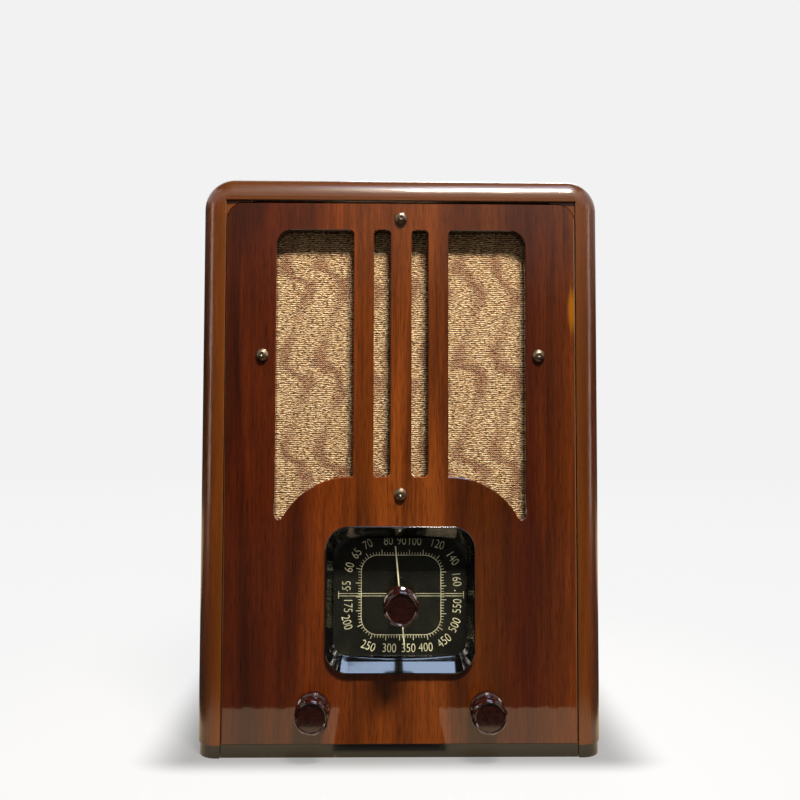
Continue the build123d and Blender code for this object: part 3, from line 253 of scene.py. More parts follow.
BEND = 22 * MM
RUB = 2.2 * MM
RUB_LONGER = 14
PORE = 0.7 * MM
PORE_LONGER = 16
PANEL_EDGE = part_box("front_panel")[1][0]
CHIP_AND_HIGHLIGHT_WIDTH = 0.7 * MM
CHIP_AND_HIGHLIGHT_WANDER = 1.5 * MM
RIM_TONES = ("#3f1a05", "#4f2306", "#5c2a08", "#6b340c")
cabinet_edge = CABINET_BACK - 0.1 * MM
shell_walnut = lacquered_walnut("walnut shell veneer", RIM_TONES, (0.31, 0.07, 0.02), cabinet_edge, bent=True)
dress(shell_walnut, "side_panel_left", "side_panel_right", "top_panel")


# Front panel
# A single sheet of plywood with an upright walnut veneer, sawn out for the grille and the dial
# and lacquered with the rest, on its front and on the sawn edges, which are darkened almost to black.

PANEL_TONES = ("#b0a8a0", "#d2cdc6", "#eeeae6", "#ffffff")
PANEL_LEAVES = [
    (0.06, "#451803"), (0.20, "#4a1b04"), (0.34, "#692f08"), (0.42, "#73380c"), (0.62, "#743a10"),
    (0.68, "#5c2a08"), (0.76, "#6a340a"), (0.82, "#4c1e06"), (0.88, "#3f1504"), (0.95, "#5a2808"),
]
LEAF_GAIN = 1.25
PALE_PATCH_PLACE = (121.5 * MM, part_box("front_panel")[0][1], 311 * MM)
PALE_PATCH_SPREAD = (1 / (4 * MM), 0.0, 1 / (17 * MM))
panel_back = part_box("front_panel")[1][1] - 0.1 * MM
dress(lacquered_walnut("walnut panel veneer", PANEL_TONES, (0.105, 0.22, 0.0), panel_back), "front_panel")


# Plinth
# Strips of softwood under the sides and the panel, brushed black. Their edges are rubbed and
# chipped where the radio was slid along shelves.

material, tree, shader = finish("black brushed enamel", {"Roughness": 0.3, "IOR": 1.5, "Coat Weight": 0.3})
place = add(tree, "ShaderNodeTexCoord").outputs["Object"]
chips = add(tree, "ShaderNodeTexNoise", {"Scale": 1 / (6 * MM), "Detail": 5.0, "Roughness": 0.7}, {"Vector": place})
height = add(tree, "ShaderNodeSeparateXYZ", None, {0: place}).outputs["Z"]
low = add(tree, "ShaderNodeMapRange", {"From Min": 0.0, "From Max": 2.5 * MM, "To Min": 0.10, "To Max": 0.0},
          {0: height})
paleness = add(tree, "ShaderNodeMath", {"operation": "ADD"}, {0: chips.outputs["Fac"], 1: low.outputs[0]})
coat = add(tree, "ShaderNodeValToRGB", {"stops": [(0.62, "#0b0a0a"), (0.70, "#2c1a10"), (0.78, "#6a4a2c")]},
           {0: paleness.outputs[0]})
tree.links.new(coat.outputs[0], shader.inputs["Base Color"])
relief = add(tree, "ShaderNodeBump", {"Strength": 0.3, "Distance": 0.2 * MM}, {"Height": chips.outputs["Fac"]})
tree.links.new(relief.outputs[0], shader.inputs["Normal"])
dress(material, "plinth_sides", "plinth_front")


# Inner woodwork
# The base board, the cleats and the corner blocks are sawn softwood, never finished. The
# blocks' front ends show in the rim's top corners and are stained to match.

material, tree, shader = finish("sawn softwood", {"Roughness": 0.8, "IOR": 1.45})
across = add(tree, "ShaderNodeMapping", {"Rotation": (0, math.pi / 2, 0)},
             {"Vector": add(tree, "ShaderNodeTexCoord").outputs["Object"]}).outputs[0]
zones, lines, streaks = wood_grain(tree, across, (0.2, 0.1, 0.4))
tone = add(tree, "ShaderNodeMath", {"operation": "ADD"}, {0: zones, 1: lines})
tone = add(tree, "ShaderNodeMath", {"operation": "MULTIPLY", 1: 0.5}, {0: tone.outputs[0]})
wood = add(tree, "ShaderNodeValToRGB", {"stops": [(0.36, "#5b3c22"), (0.5, "#8b6238"), (0.64, "#b08650")]},
           {0: tone.outputs[0]})
tree.links.new(wood.outputs[0], shader.inputs["Base Color"])
relief = add(tree, "ShaderNodeBump", {"Strength": 0.4, "Distance": 0.2 * MM}, {"Height": lines})
tree.links.new(relief.outputs[0], shader.inputs["Normal"])
dress(material, "base_board", "panel_cleats")
block_walnut = lacquered_walnut("stained and lacquered block", RIM_TONES, (0.3, 0.3, 0.1),
                                RIM_FRONT + 6 * MM, bent=True)
dress(block_walnut, "corner_blocks")


# Grille cloth and baffle
# A stretched acoustic cloth of gold and brown yarn, glued to a fibreboard baffle. The brown
# yarn comes to the face in wavy upright flames, and elsewhere the gold one floats over it.

THREAD = 1.45 * MM
FLOAT = 2.6 * MM
STITCH = 1.25 * MM
FLAME_PITCH = 25 * MM
FLAME_LENGTH = 67 * MM
FLAME_SWING = 8.5 * MM
CLOTH_CELL = 2 * MM
CLOTH_THICK = 0.4 * MM


def piece(name, vertices, faces, material, body, smooth=False):
    """A new mesh object at the origin that rides on a body."""
    mesh = bpy.data.meshes.new(name)
    mesh.from_pydata([tuple(v) for v in vertices], [], faces)
    mesh.materials.append(material)
    mesh.polygons.foreach_set("use_smooth", [smooth] * len(mesh.polygons))
    made = bpy.data.objects.new(name, mesh)
    bpy.context.scene.collection.objects.link(made)
    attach(made, body)
    return made


def acoustic_cloth():
    """Plain-woven rayon and cotton: dull, with a soft sheen on the gold floats. The yarn is about a
    millimetre thick and is drawn a little coarser, so that each row shows."""
    material, tree, shader = finish("gold and brown acoustic cloth", {
        "Roughness": 0.8, "IOR": 1.45, "Specular IOR Level": 0.3, "Sheen Weight": 0.1, "Sheen Roughness": 0.5,
    })
    here = add(tree, "ShaderNodeTexCoord").outputs["Object"]
    place = add(tree, "ShaderNodeSeparateXYZ", None, {0: here})
    pull = add(tree, "ShaderNodeTexNoise", {"Scale": 1 / (18 * MM), "Detail": 2.0}, {"Vector": here})
    pull = add(tree, "ShaderNodeMath", {"operation": "SUBTRACT", 1: 0.5}, {0: pull.outputs["Fac"]}).outputs[0]
    fuzz = add(tree, "ShaderNodeTexNoise", {"Scale": 1 / (1.6 * MM), "Detail": 3.0}, {"Vector": here}).outputs["Fac"]

    # rows of weft float over the warp in lengths that differ, and sag a little between its threads
    level = add(tree, "ShaderNodeMath", {"operation": "MULTIPLY_ADD", 1: 2.2 * MM}, {0: fuzz, 2: place.outputs["Z"]})
    level = add(tree, "ShaderNodeMath", {"operation": "MULTIPLY_ADD", 1: 3 * MM}, {0: pull, 2: level.outputs[0]})
    row = add(tree, "ShaderNodeMath", {"operation": "MULTIPLY", 1: 2 * math.pi / THREAD}, {0: level.outputs[0]})
    crown = add(tree, "ShaderNodeMath", {"operation": "COSINE"}, {0: row.outputs[0]}).outputs[0]
    lengths = add(tree, "ShaderNodeMapping", {"Scale": (1 / FLOAT, 1.0, 1.3 / THREAD)}, {"Vector": here})
    lengths = add(tree, "ShaderNodeTexNoise", {"Scale": 1.0, "Detail": 2.0, "Roughness": 0.65},
                  {"Vector": lengths.outputs[0]}).outputs["Fac"]
    floats = add(tree, "ShaderNodeMapRange", {"From Min": 0.32, "From Max": 0.68}, {0: lengths}).outputs[0]
    floats = add(tree, "ShaderNodeMath", {"operation": "MULTIPLY_ADD", 1: 0.42}, {0: crown, 2: floats}).outputs[0]

    # in the flames short slanted stitches of the brown yarn lie between the rows
    slant = add(tree, "ShaderNodeMath", {"operation": "MULTIPLY_ADD", 1: 0.8}, {0: level.outputs[0], 2: place.outputs["X"]})
    slant = add(tree, "ShaderNodeMath", {"operation": "MULTIPLY", 1: 2 * math.pi / STITCH}, {0: slant.outputs[0]})
    slant = add(tree, "ShaderNodeMath", {"operation": "COSINE"}, {0: slant.outputs[0]}).outputs[0]
    stitches = add(tree, "ShaderNodeMath", {"operation": "MULTIPLY_ADD", 1: 0.3}, {0: crown, 2: lengths}).outputs[0]
    stitches = add(tree, "ShaderNodeMath", {"operation": "MULTIPLY_ADD", 1: 0.3}, {0: slant, 2: stitches}).outputs[0]

    # the flames: upright waves, thick where each one leans back under the next
    turn = add(tree, "ShaderNodeMath", {"operation": "MULTIPLY", 1: 2 * math.pi / FLAME_LENGTH},
               {0: place.outputs["Z"]}).outputs[0]
    turn = add(tree, "ShaderNodeMath", {"operation": "MULTIPLY_ADD", 1: 2.4}, {0: pull, 2: turn}).outputs[0]
    lean = add(tree, "ShaderNodeMath", {"operation": "SINE"}, {0: turn}).outputs[0]
    lean = add(tree, "ShaderNodeMath", {"operation": "MULTIPLY_ADD", 1: 0.65}, {0: lean, 2: turn}).outputs[0]
    lean = add(tree, "ShaderNodeMath", {"operation": "SINE"}, {0: lean}).outputs[0]
    swung = add(tree, "ShaderNodeMath", {"operation": "MULTIPLY_ADD", 1: FLAME_SWING},
                {0: lean, 2: place.outputs["X"]}).outputs[0]
    swung = add(tree, "ShaderNodeMath", {"operation": "MULTIPLY_ADD", 1: 10 * MM}, {0: pull, 2: swung}).outputs[0]
    swung = add(tree, "ShaderNodeMath", {"operation": "MULTIPLY", 1: 2 * math.pi / FLAME_PITCH}, {0: swung})
    stripe = add(tree, "ShaderNodeMath", {"operation": "COSINE"}, {0: swung.outputs[0]}).outputs[0]
    thick = add(tree, "ShaderNodeMath", {"operation": "COSINE"}, {0: turn}).outputs[0]
    flame = add(tree, "ShaderNodeMath", {"operation": "MULTIPLY_ADD", 1: 0.42}, {0: thick, 2: stripe}).outputs[0]
    rough_edge = add(tree, "ShaderNodeMath", {"operation": "MULTIPLY_ADD", 1: 2.4}, {0: lengths, 2: flame}).outputs[0]
    flame = add(tree, "ShaderNodeMapRange", {"From Min": 1.45, "From Max": 2.5, "To Max": 0.9},
                {0: rough_edge}).outputs[0]

    gold = add(tree, "ShaderNodeValToRGB", {
        "stops": [(0.0, "#3c2413"), (0.32, "#7d5a38"), (0.62, "#c39c69"), (1.0, "#f2deb8")],
    }, {0: floats}).outputs[0]
    brown = add(tree, "ShaderNodeValToRGB", {
        "stops": [(0.1, "#2b1309"), (0.45, "#633522"), (0.75, "#a57657"), (1.0, "#d6b28c")],
    }, {0: stitches}).outputs[0]
    colour = add(tree, "ShaderNodeMix", {"data_type": "RGBA"}, {FACTOR: flame, A: gold, B: brown})
    tree.links.new(colour.outputs[MIXED], shader.inputs["Base Color"])
    height = add(tree, "ShaderNodeMix", {"data_type": "FLOAT"}, {0: flame, 2: floats, 3: stitches})
    relief = add(tree, "ShaderNodeBump", {"Strength": 0.8, "Distance": 0.35 * MM}, {"Height": height.outputs[0]})
    tree.links.new(relief.outputs[0], shader.inputs["Normal"])
    return material


low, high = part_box("grille_cloth")
columns = round((high[0] - low[0]) / CLOTH_CELL)
rows = round((high[2] - low[2]) / CLOTH_CELL)
points = []
for row in range(rows + 1):
    for column in range(columns + 1):
        x = low[0] + (high[0] - low[0]) * column / columns
        z = low[2] + (high[2] - low[2]) * row / rows
        slack = 0.04 * MM * math.sin(x / (23 * MM)) * math.sin(z / (31 * MM) + 0.6)
        points.append((x, low[1] + 0.1 * MM + slack, z))
quads = []
for row in range(rows):
    for column in range(columns):
        corner = row * (columns + 1) + column
        quads.append((corner, corner + 1, corner + columns + 2, corner + columns + 1))
cloth = piece("stretched_cloth", points, quads, acoustic_cloth(), "cabinet", smooth=True)
thickness = cloth.modifiers.new("cloth thickness", "SOLIDIFY")
thickness.thickness = CLOTH_THICK
thickness.offset = -1.0
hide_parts("grille_cloth")

material, tree, shader = finish("pressed fibreboard", {"Roughness": 0.85, "IOR": 1.45})
place = add(tree, "ShaderNodeTexCoord").outputs["Object"]
fibre = add(tree, "ShaderNodeTexNoise", {"Scale": 1 / (2 * MM), "Detail": 6.0, "Roughness": 0.7}, {"Vector": place})
board = add(tree, "ShaderNodeValToRGB", {"stops": [(0.35, "#2c1d13"), (0.65, "#574030")]},
            {0: fibre.outputs["Fac"]})
tree.links.new(board.outputs[0], shader.inputs["Base Color"])
relief = add(tree, "ShaderNodeBump", {"Strength": 0.5, "Distance": 0.2 * MM}, {"Height": fibre.outputs["Fac"]})
tree.links.new(relief.outputs[0], shader.inputs["Normal"])
dress(material, "baffle_board", "speaker_gasket")


# Loudspeaker bolts and nuts
# Round-headed steel screws, oxidised to a dark bronze, that come through the panel and hold
# the loudspeaker. The nuts behind are plain plated steel.

def worn_metal(name, colours, roughness, grit_mm, stretch=(1.0, 1.0, 1.0), metallic=1.0, relief_mm=0.03):
    """A metal surface with tarnish in soft clouds and fine marks that scatter the light."""
    material, tree, shader = finish(name, {"Metallic": metallic})
    place = add(tree, "ShaderNodeTexCoord").outputs["Object"]
    clouds = add(tree, "ShaderNodeTexNoise", {"Scale": 1 / (14 * MM), "Detail": 5.0, "Roughness": 0.65},
                 {"Vector": place}).outputs["Fac"]
    tone = add(tree, "ShaderNodeValToRGB", {
        "stops": [(0.3 + 0.4 * i / (len(colours) - 1), c) for i, c in enumerate(colours)],
    }, {0: clouds})
    tree.links.new(tone.outputs[0], shader.inputs["Base Color"])
    place = add(tree, "ShaderNodeMapping", {"Scale": stretch}, {"Vector": place}).outputs[0]
    marks = add(tree, "ShaderNodeTexNoise", {"Scale": 1 / (grit_mm * MM), "Detail": 3.0}, {"Vector": place})
    marks = marks.outputs["Fac"]
    rough = add(tree, "ShaderNodeMapRange", {
        "From Min": 0.3, "From Max": 0.7, "To Min": roughness * 0.75, "To Max": roughness * 1.3,
    }, {0: marks})
    tree.links.new(rough.outputs[0], shader.inputs["Roughness"])
    relief = add(tree, "ShaderNodeBump", {"Strength": 0.35, "Distance": relief_mm * MM}, {"Height": marks})
    tree.links.new(relief.outputs[0], shader.inputs["Normal"])
    return material


dress(worn_metal("oxidised bronze plating", ("#3b3029", "#6a5a4c", "#8a7a68"), 0.38, 0.5), "speaker_bolts")
plated = worn_metal("zinc plated steel", ("#8d8a82", "#aaa79d", "#b9b6ac"), 0.38, 0.8)
dress(plated, "speaker_nuts", "control_nuts", "chassis_bolts")


# Loudspeaker
# A pressed steel basket painted black, a felted paper cone with moulded rings, and a round pot
# for the field winding with a flat steel plate in front of it.

def black_paint(name, roughness, dust):
    """Stoved black paint. Dust lies on it in a thin uneven film."""
    material, tree, shader = finish(name, {"Roughness": roughness, "IOR": 1.5})
    place = add(tree, "ShaderNodeTexCoord").outputs["Object"]
    film = add(tree, "ShaderNodeTexNoise", {"Scale": 1 / (9 * MM), "Detail": 6.0, "Roughness": 0.7}, {"Vector": place})
    paint = add(tree, "ShaderNodeValToRGB", {"stops": [(0.38, "#121212"), (0.72, dust)]},
                {0: film.outputs["Fac"]})
    tree.links.new(paint.outputs[0], shader.inputs["Base Color"])
    peel = add(tree, "ShaderNodeTexNoise", {"Scale": 1 / (1.4 * MM), "Detail": 2.0}, {"Vector": place})
    relief = add(tree, "ShaderNodeBump", {"Strength": 0.2, "Distance": 0.1 * MM}, {"Height": peel.outputs["Fac"]})
    tree.links.new(relief.outputs[0], shader.inputs["Normal"])
    return material


dress(black_paint("stoved black paint", 0.42, "#3c362e"), "speaker_basket", "pole_plate", "field_pot")

SPEAKER_Z = (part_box("field_pot")[0][2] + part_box("field_pot")[1][2]) / 2
material, tree, shader = finish("felted cone paper", {"Roughness": 0.9, "IOR": 1.4})
place = add(tree, "ShaderNodeTexCoord").outputs["Object"]
place = add(tree, "ShaderNodeMapping", {"Location": (0, 0, -SPEAKER_Z), "Scale": (1, 0, 1)}, {"Vector": place})
away = add(tree, "ShaderNodeVectorMath", {"operation": "LENGTH"}, {0: place.outputs[0]}).outputs["Value"]
rings = add(tree, "ShaderNodeMath", {"operation": "MULTIPLY", 1: 2 * math.pi / (6 * MM)}, {0: away})
rings = add(tree, "ShaderNodeMath", {"operation": "SINE"}, {0: rings.outputs[0]}).outputs[0]
felt = add(tree, "ShaderNodeTexNoise", {"Scale": 1 / (1.1 * MM), "Detail": 4.0},
           {"Vector": add(tree, "ShaderNodeTexCoord").outputs["Object"]}).outputs["Fac"]
paper = add(tree, "ShaderNodeValToRGB", {"stops": [(0.3, "#2a241d"), (0.7, "#4f463a")]}, {0: felt})
tree.links.new(paper.outputs[0], shader.inputs["Base Color"])
height = add(tree, "ShaderNodeMath", {"operation": "MULTIPLY_ADD", 1: 0.8}, {0: rings, 2: felt})
relief = add(tree, "ShaderNodeBump", {"Strength": 0.6, "Distance": 0.4 * MM}, {"Height": height.outputs[0]})
tree.links.new(relief.outputs[0], shader.inputs["Normal"])
dress(material, "speaker_cone", "cone_surround", "cone_spider")


def flexing_ring(node):
    """Cuts a round part like slices of a pie, each of which reaches from its held outer edge to the part
    of its inner edge that moves with the cone."""
    half = math.pi / FLEX_SLICES
    for number in range(FLEX_SLICES):
        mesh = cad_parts[node].data.copy()
        cut = bmesh.new()
        cut.from_mesh(mesh)
        middle = 2 * half * number
        for side in (-1, 1):
            edge = middle + side * half
            bmesh.ops.bisect_plane(
                cut, geom=cut.verts[:] + cut.edges[:] + cut.faces[:], dist=1e-7, clear_outer=True,
                plane_co=(0, 0, SPEAKER_Z), plane_no=(-side * math.sin(edge), 0, side * math.cos(edge)),
            )
        cut.to_mesh(mesh)
        cut.free()
        slice_of_ring = bpy.data.objects.new(f"{node}_{number + 1}", mesh)
        bpy.context.scene.collection.objects.link(slice_of_ring)
        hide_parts(node)
        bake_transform(slice_of_ring)


FLEX_SLICES = 8
flexing_ring("cone_surround")
flexing_ring("cone_spider")

dress(worn_metal("soft iron", ("#4b4a48", "#6f6e6b"), 0.45, 0.6), "pole_piece")
enamelled_wire = worn_metal("enamelled copper wire", ("#7a3a1c", "#b5622f"), 0.3, 0.4, (1, 1, 6))
dress(enamelled_wire, "voice_coil")


# Output transformer
# A stack of thin steel laminations in a folded strap over the loudspeaker's pot, with its
# winding wrapped in waxed brown paper.

def laminations(name, axis, colours):
    """Stacked sheet steel seen from its edges. The sheets are half a millimetre thick and are drawn
    at one millimetre, so that they show. Rust has started between them."""
    material, tree, shader = finish(name, {"Metallic": 0.8, "Roughness": 0.5})
    place = add(tree, "ShaderNodeTexCoord").outputs["Object"]
    along = add(tree, "ShaderNodeSeparateXYZ", None, {0: place}).outputs[axis]
    lines = add(tree, "ShaderNodeMath", {"operation": "MULTIPLY", 1: 2 * math.pi / (1 * MM)}, {0: along})
    lines = add(tree, "ShaderNodeMath", {"operation": "SINE"}, {0: lines.outputs[0]}).outputs[0]
    rust = add(tree, "ShaderNodeTexNoise", {"Scale": 1 / (7 * MM), "Detail": 5.0}, {"Vector": place}).outputs["Fac"]
    shade = add(tree, "ShaderNodeMath", {"operation": "MULTIPLY_ADD", 1: 0.09}, {0: lines, 2: rust})
    tone = add(tree, "ShaderNodeValToRGB", {"stops": [(0.35, colours[0]), (0.5, colours[1]), (0.7, colours[2])]},
               {0: shade.outputs[0]})
    tree.links.new(tone.outputs[0], shader.inputs["Base Color"])
    relief = add(tree, "ShaderNodeBump", {"Strength": 0.7, "Distance": 0.2 * MM}, {"Height": lines})
    tree.links.new(relief.outputs[0], shader.inputs["Normal"])
    return material


dress(laminations("transformer laminations", "Y", ("#2a211b", "#5b5854", "#77736c")),
      "output_transformer", "power_transformer")

material, tree, shader = finish("waxed winding paper", {"Roughness": 0.45, "IOR": 1.45, "Coat Weight": 0.2})
place = add(tree, "ShaderNodeTexCoord").outputs["Object"]
stain = add(tree, "ShaderNodeTexNoise", {"Scale": 1 / (11 * MM), "Detail": 5.0}, {"Vector": place}).outputs["Fac"]
paper = add(tree, "ShaderNodeValToRGB", {"stops": [(0.32, "#3d220f"), (0.5, "#7a4c22"), (0.7, "#a1733a")]},
            {0: stain})
tree.links.new(paper.outputs[0], shader.inputs["Base Color"])
up = add(tree, "ShaderNodeSeparateXYZ", None, {0: place}).outputs["Z"]
turns = add(tree, "ShaderNodeMath", {"operation": "MULTIPLY", 1: 2 * math.pi / (1.6 * MM)}, {0: up})
turns = add(tree, "ShaderNodeMath", {"operation": "SINE"}, {0: turns.outputs[0]}).outputs[0]
relief = add(tree, "ShaderNodeBump", {"Strength": 0.25, "Distance": 0.15 * MM}, {"Height": turns})
tree.links.new(relief.outputs[0], shader.inputs["Normal"])
dress(material, "output_transformer_coil", "field_coil")


# Dial bezel and glass
# The bezel is black moulded phenolic, polished, with a wide bevel that mirrors the room. The
# glass is slightly domed, with a hole for the tuning shaft, and lies in the bezel's back.

material, tree, shader = finish("polished black phenolic", {
    "Base Color": linear("#040404"), "IOR": 1.6, "Coat Weight": 0.5, "Coat Roughness": 0.08,
})
place = add(tree, "ShaderNodeTexCoord").outputs["Object"]
haze = add(tree, "ShaderNodeTexNoise", {"Scale": 1 / (5 * MM), "Detail": 5.0, "Roughness": 0.7}, {"Vector": place})
rough = add(tree, "ShaderNodeMapRange", {"From Min": 0.35, "From Max": 0.75, "To Min": 0.05, "To Max": 0.14},
            {0: haze.outputs["Fac"]})
tree.links.new(rough.outputs[0], shader.inputs["Roughness"])
ripple = add(tree, "ShaderNodeTexNoise", {"Scale": 1 / (3 * MM), "Detail": 1.0}, {"Vector": place})
relief = add(tree, "ShaderNodeBump", {"Strength": 0.12, "Distance": 0.08 * MM}, {"Height": ripple.outputs["Fac"]})
tree.links.new(relief.outputs[0], shader.inputs["Normal"])
dress(material, "dial_bezel")


def clear_glass(name, tint, roughness):
    """Clear glass. Light that only shines through it, to what lies behind, isn't held back."""
    material, tree, shader = finish(name, {
        "Base Color": linear(tint), "Roughness": roughness, "IOR": 1.5, "Transmission Weight": 1.0,
    })
    through = add(tree, "ShaderNodeBsdfTransparent", {"Color": linear(tint)})
    shining = add(tree, "ShaderNodeLightPath").outputs["Is Shadow Ray"]
    either = add(tree, "ShaderNodeMixShader", None, {0: shining, 1: shader.outputs[0], 2: through.outputs[0]})
    tree.links.new(either.outputs[0], tree.nodes["Material Output"].inputs["Surface"])
    return material


dress(clear_glass("dial glass", "#fbfcf8", 0.01), "dial_glass")


# Dial plate and its printing
# A tinplate sheet, enamelled black and screen printed in pale cream: two rings of plain
# numbers, a squared scale of tick marks, and a double line from side to side.

DIAL_LOW, DIAL_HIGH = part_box("dial_plate")
DIAL_X = (DIAL_LOW[0] + DIAL_HIGH[0]) / 2
DIAL_Z = (DIAL_LOW[2] + DIAL_HIGH[2]) / 2
PRINT_Y = DIAL_LOW[1] - 0.06 * MM
PRINT_ASIDE = 0.9  # the printing sits a little to the right of the shaft
SCALE_WIDTH = 56.8
SCALE_HEIGHT = 56.2
SCALE_CORNER = 12.0
LINE = 0.36
TICKS = 105
LONG_EVERY = 5
SHORT_TICK = 2.1
LONG_TICK = 3.8
TICK_TURN = math.pi
NUMBER_HEIGHT = 6.0
NUMBER_NARROW = 0.78

material, tree, shader = finish("black dial enamel", {"Roughness": 0.5, "IOR": 1.5, "Specular IOR Level": 0.05})
place = add(tree, "ShaderNodeTexCoord").outputs["Object"]
age = add(tree, "ShaderNodeTexNoise", {"Scale": 1 / (16 * MM), "Detail": 5.0}, {"Vector": place}).outputs["Fac"]
enamel = add(tree, "ShaderNodeValToRGB", {"stops": [(0.35, "#0c0d09"), (0.6, "#141510"), (0.75, "#211e14")]},
             {0: age})
tree.links.new(enamel.outputs[0], shader.inputs["Base Color"])
dress(material, "dial_plate")

cream, tree, shader = finish("cream printing ink", {"Roughness": 0.55, "IOR": 1.5})
place = add(tree, "ShaderNodeTexCoord").outputs["Object"]
fade = add(tree, "ShaderNodeTexNoise", {"Scale": 1 / (9 * MM), "Detail": 4.0}, {"Vector": place}).outputs["Fac"]
ink = add(tree, "ShaderNodeValToRGB", {"stops": [(0.35, "#a8a68e"), (0.5, "#c6c5aa"), (0.68, "#dedebf")]},
          {0: fade})
tree.links.new(ink.outputs[0], shader.inputs["Base Color"])

print_points = []
print_faces = []


def print_shape(outline, faces):
    """Adds flat printed faces. Points are in millimetres from the dial's centre, right and up."""
    first = len(print_points)
    print_points.extend((DIAL_X + (PRINT_ASIDE + x) * MM, PRINT_Y, DIAL_Z + z * MM) for x, z in outline)
    print_faces.extend(tuple(first + index for index in face) for face in faces)


def print_bar(start, end, width):
    """A straight printed line."""
    run = Vector(end) - Vector(start)
    side = Vector((-run.y, run.x)).normalized() * width / 2
    corners = [Vector(start) - side, Vector(end) - side, Vector(end) + side, Vector(start) + side]
    print_shape([tuple(corner) for corner in corners], [(0, 1, 2, 3)])


def print_number(text, x, z, turn):
    """A printed number, its middle at x and z, turned anticlockwise by turn degrees."""
    curve = bpy.data.curves.new("number", "FONT")
    curve.body = text
    curve.align_x = "CENTER"
    curve.align_y = "CENTER"
    curve.offset = -0.012
    writing = bpy.data.objects.new("number", curve)
    bpy.context.scene.collection.objects.link(writing)
    depsgraph = bpy.context.evaluated_depsgraph_get()
    mesh = bpy.data.meshes.new_from_object(writing.evaluated_get(depsgraph))
    highest = max(v.co.y for v in mesh.vertices)
    lowest = min(v.co.y for v in mesh.vertices)
    scale = NUMBER_HEIGHT / (highest - lowest)
    middle = (highest + lowest) / 2
    cos, sin = math.cos(math.radians(turn)), math.sin(math.radians(turn))
    outline = []
    for vertex in mesh.vertices:
        across = vertex.co.x * scale * NUMBER_NARROW
        up = (vertex.co.y - middle) * scale
        outline.append((x + across * cos - up * sin, z + across * sin + up * cos))
    print_shape(outline, [tuple(face.vertices) for face in mesh.polygons])
    bpy.data.objects.remove(writing)
    bpy.data.curves.remove(curve)
    bpy.data.meshes.remove(mesh)


